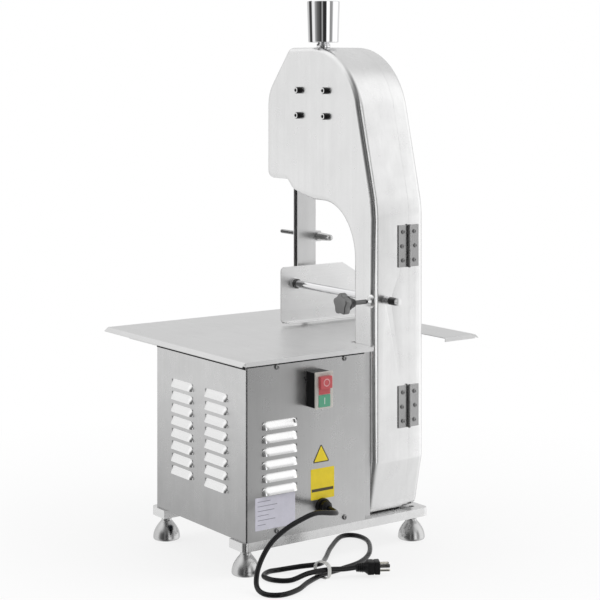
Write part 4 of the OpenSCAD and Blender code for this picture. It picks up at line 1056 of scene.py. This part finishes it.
def ease(value, a, b):
    """0 at a, 1 at b, smooth between."""
    node = wnode("ShaderNodeMapRange", interpolation_type="SMOOTHSTEP")
    wt.links.new(value, node.inputs["Value"])
    node.inputs["From Min"].default_value = a
    node.inputs["From Max"].default_value = b
    return node.outputs[0]


def blend2(fac, a_, b_):
    return wmath("ADD", wmath("MULTIPLY", a_, wmath("SUBTRACT", 1.0, fac)), wmath("MULTIPLY", b_, fac))


low = blend2(ease(wmath("MULTIPLY", elev, -1.0), 14.0, 38.0), walls, ground)
mixed = blend2(ease(elev, 18.0, 44.0), low, blend2(ease(elev, 52.0, 84.0), ceiling, 0.70))
bg = wnode("ShaderNodeBackground")
wt.links.new(wmath("MULTIPLY", mixed, 1.0), bg.inputs["Strength"])
bg.inputs["Color"].default_value = (1, 1, 1, 1)
seen = wnode("ShaderNodeBackground")
seen.inputs["Color"].default_value = (1, 1, 1, 1)
seen.inputs["Strength"].default_value = 1.0
lp = wnode("ShaderNodeLightPath")
mx = wnode("ShaderNodeMixShader")
wt.links.new(lp.outputs["Is Camera Ray"], mx.inputs[0])
wt.links.new(bg.outputs[0], mx.inputs[1])
wt.links.new(seen.outputs[0], mx.inputs[2])
out = wnode("ShaderNodeOutputWorld")
wt.links.new(mx.outputs[0], out.inputs["Surface"])


def area(name, at, aim, size, power):
    li = bpy.data.lights.new(name, "AREA")
    li.shape = "RECTANGLE"
    li.size, li.size_y = size
    li.energy = power
    ob = bpy.data.objects.new(name, li)
    bpy.context.scene.collection.objects.link(ob)
    ob.location = at
    ob.rotation_euler = (Vector(aim) - Vector(at)).to_track_quat("-Z", "Y").to_euler()
    ob.visible_glossy = False


area("key", (-1.2, -1.6, 2.4), (0, 0, 0.5), (1.6, 1.6), 18)
area("fill", (1.4, 2.2, 2.0), (0, 0, 0.4), (1.6, 1.6), 14)

cam = bpy.data.cameras.new("camera")
cam.sensor_width = 36
cam.lens = 99.06
camera = bpy.data.objects.new("camera", cam)
bpy.context.scene.collection.objects.link(camera)
camera.location = (-2.43417, 1.72484, 0.85315)
camera.rotation_euler = (-to_camera).to_track_quat("-Z", "Y").to_euler()
# The lens is level and shifted down, so uprights stay upright; seen from anywhere else it isn't shifted
rise = cam.driver_add("shift_y").driver
rise.type = "SCRIPTED"
var = rise.variables.new()
var.name, var.type = "x", "TRANSFORMS"
var.targets[0].id = camera
var.targets[0].transform_type = "LOC_X"
rise.expression = "-0.390 if abs(x + 2.43417) < 0.0005 else 0"
bpy.context.scene.camera = camera
bpy.context.scene.view_settings.view_transform = "Standard"
bpy.context.scene.view_settings.look = "None"
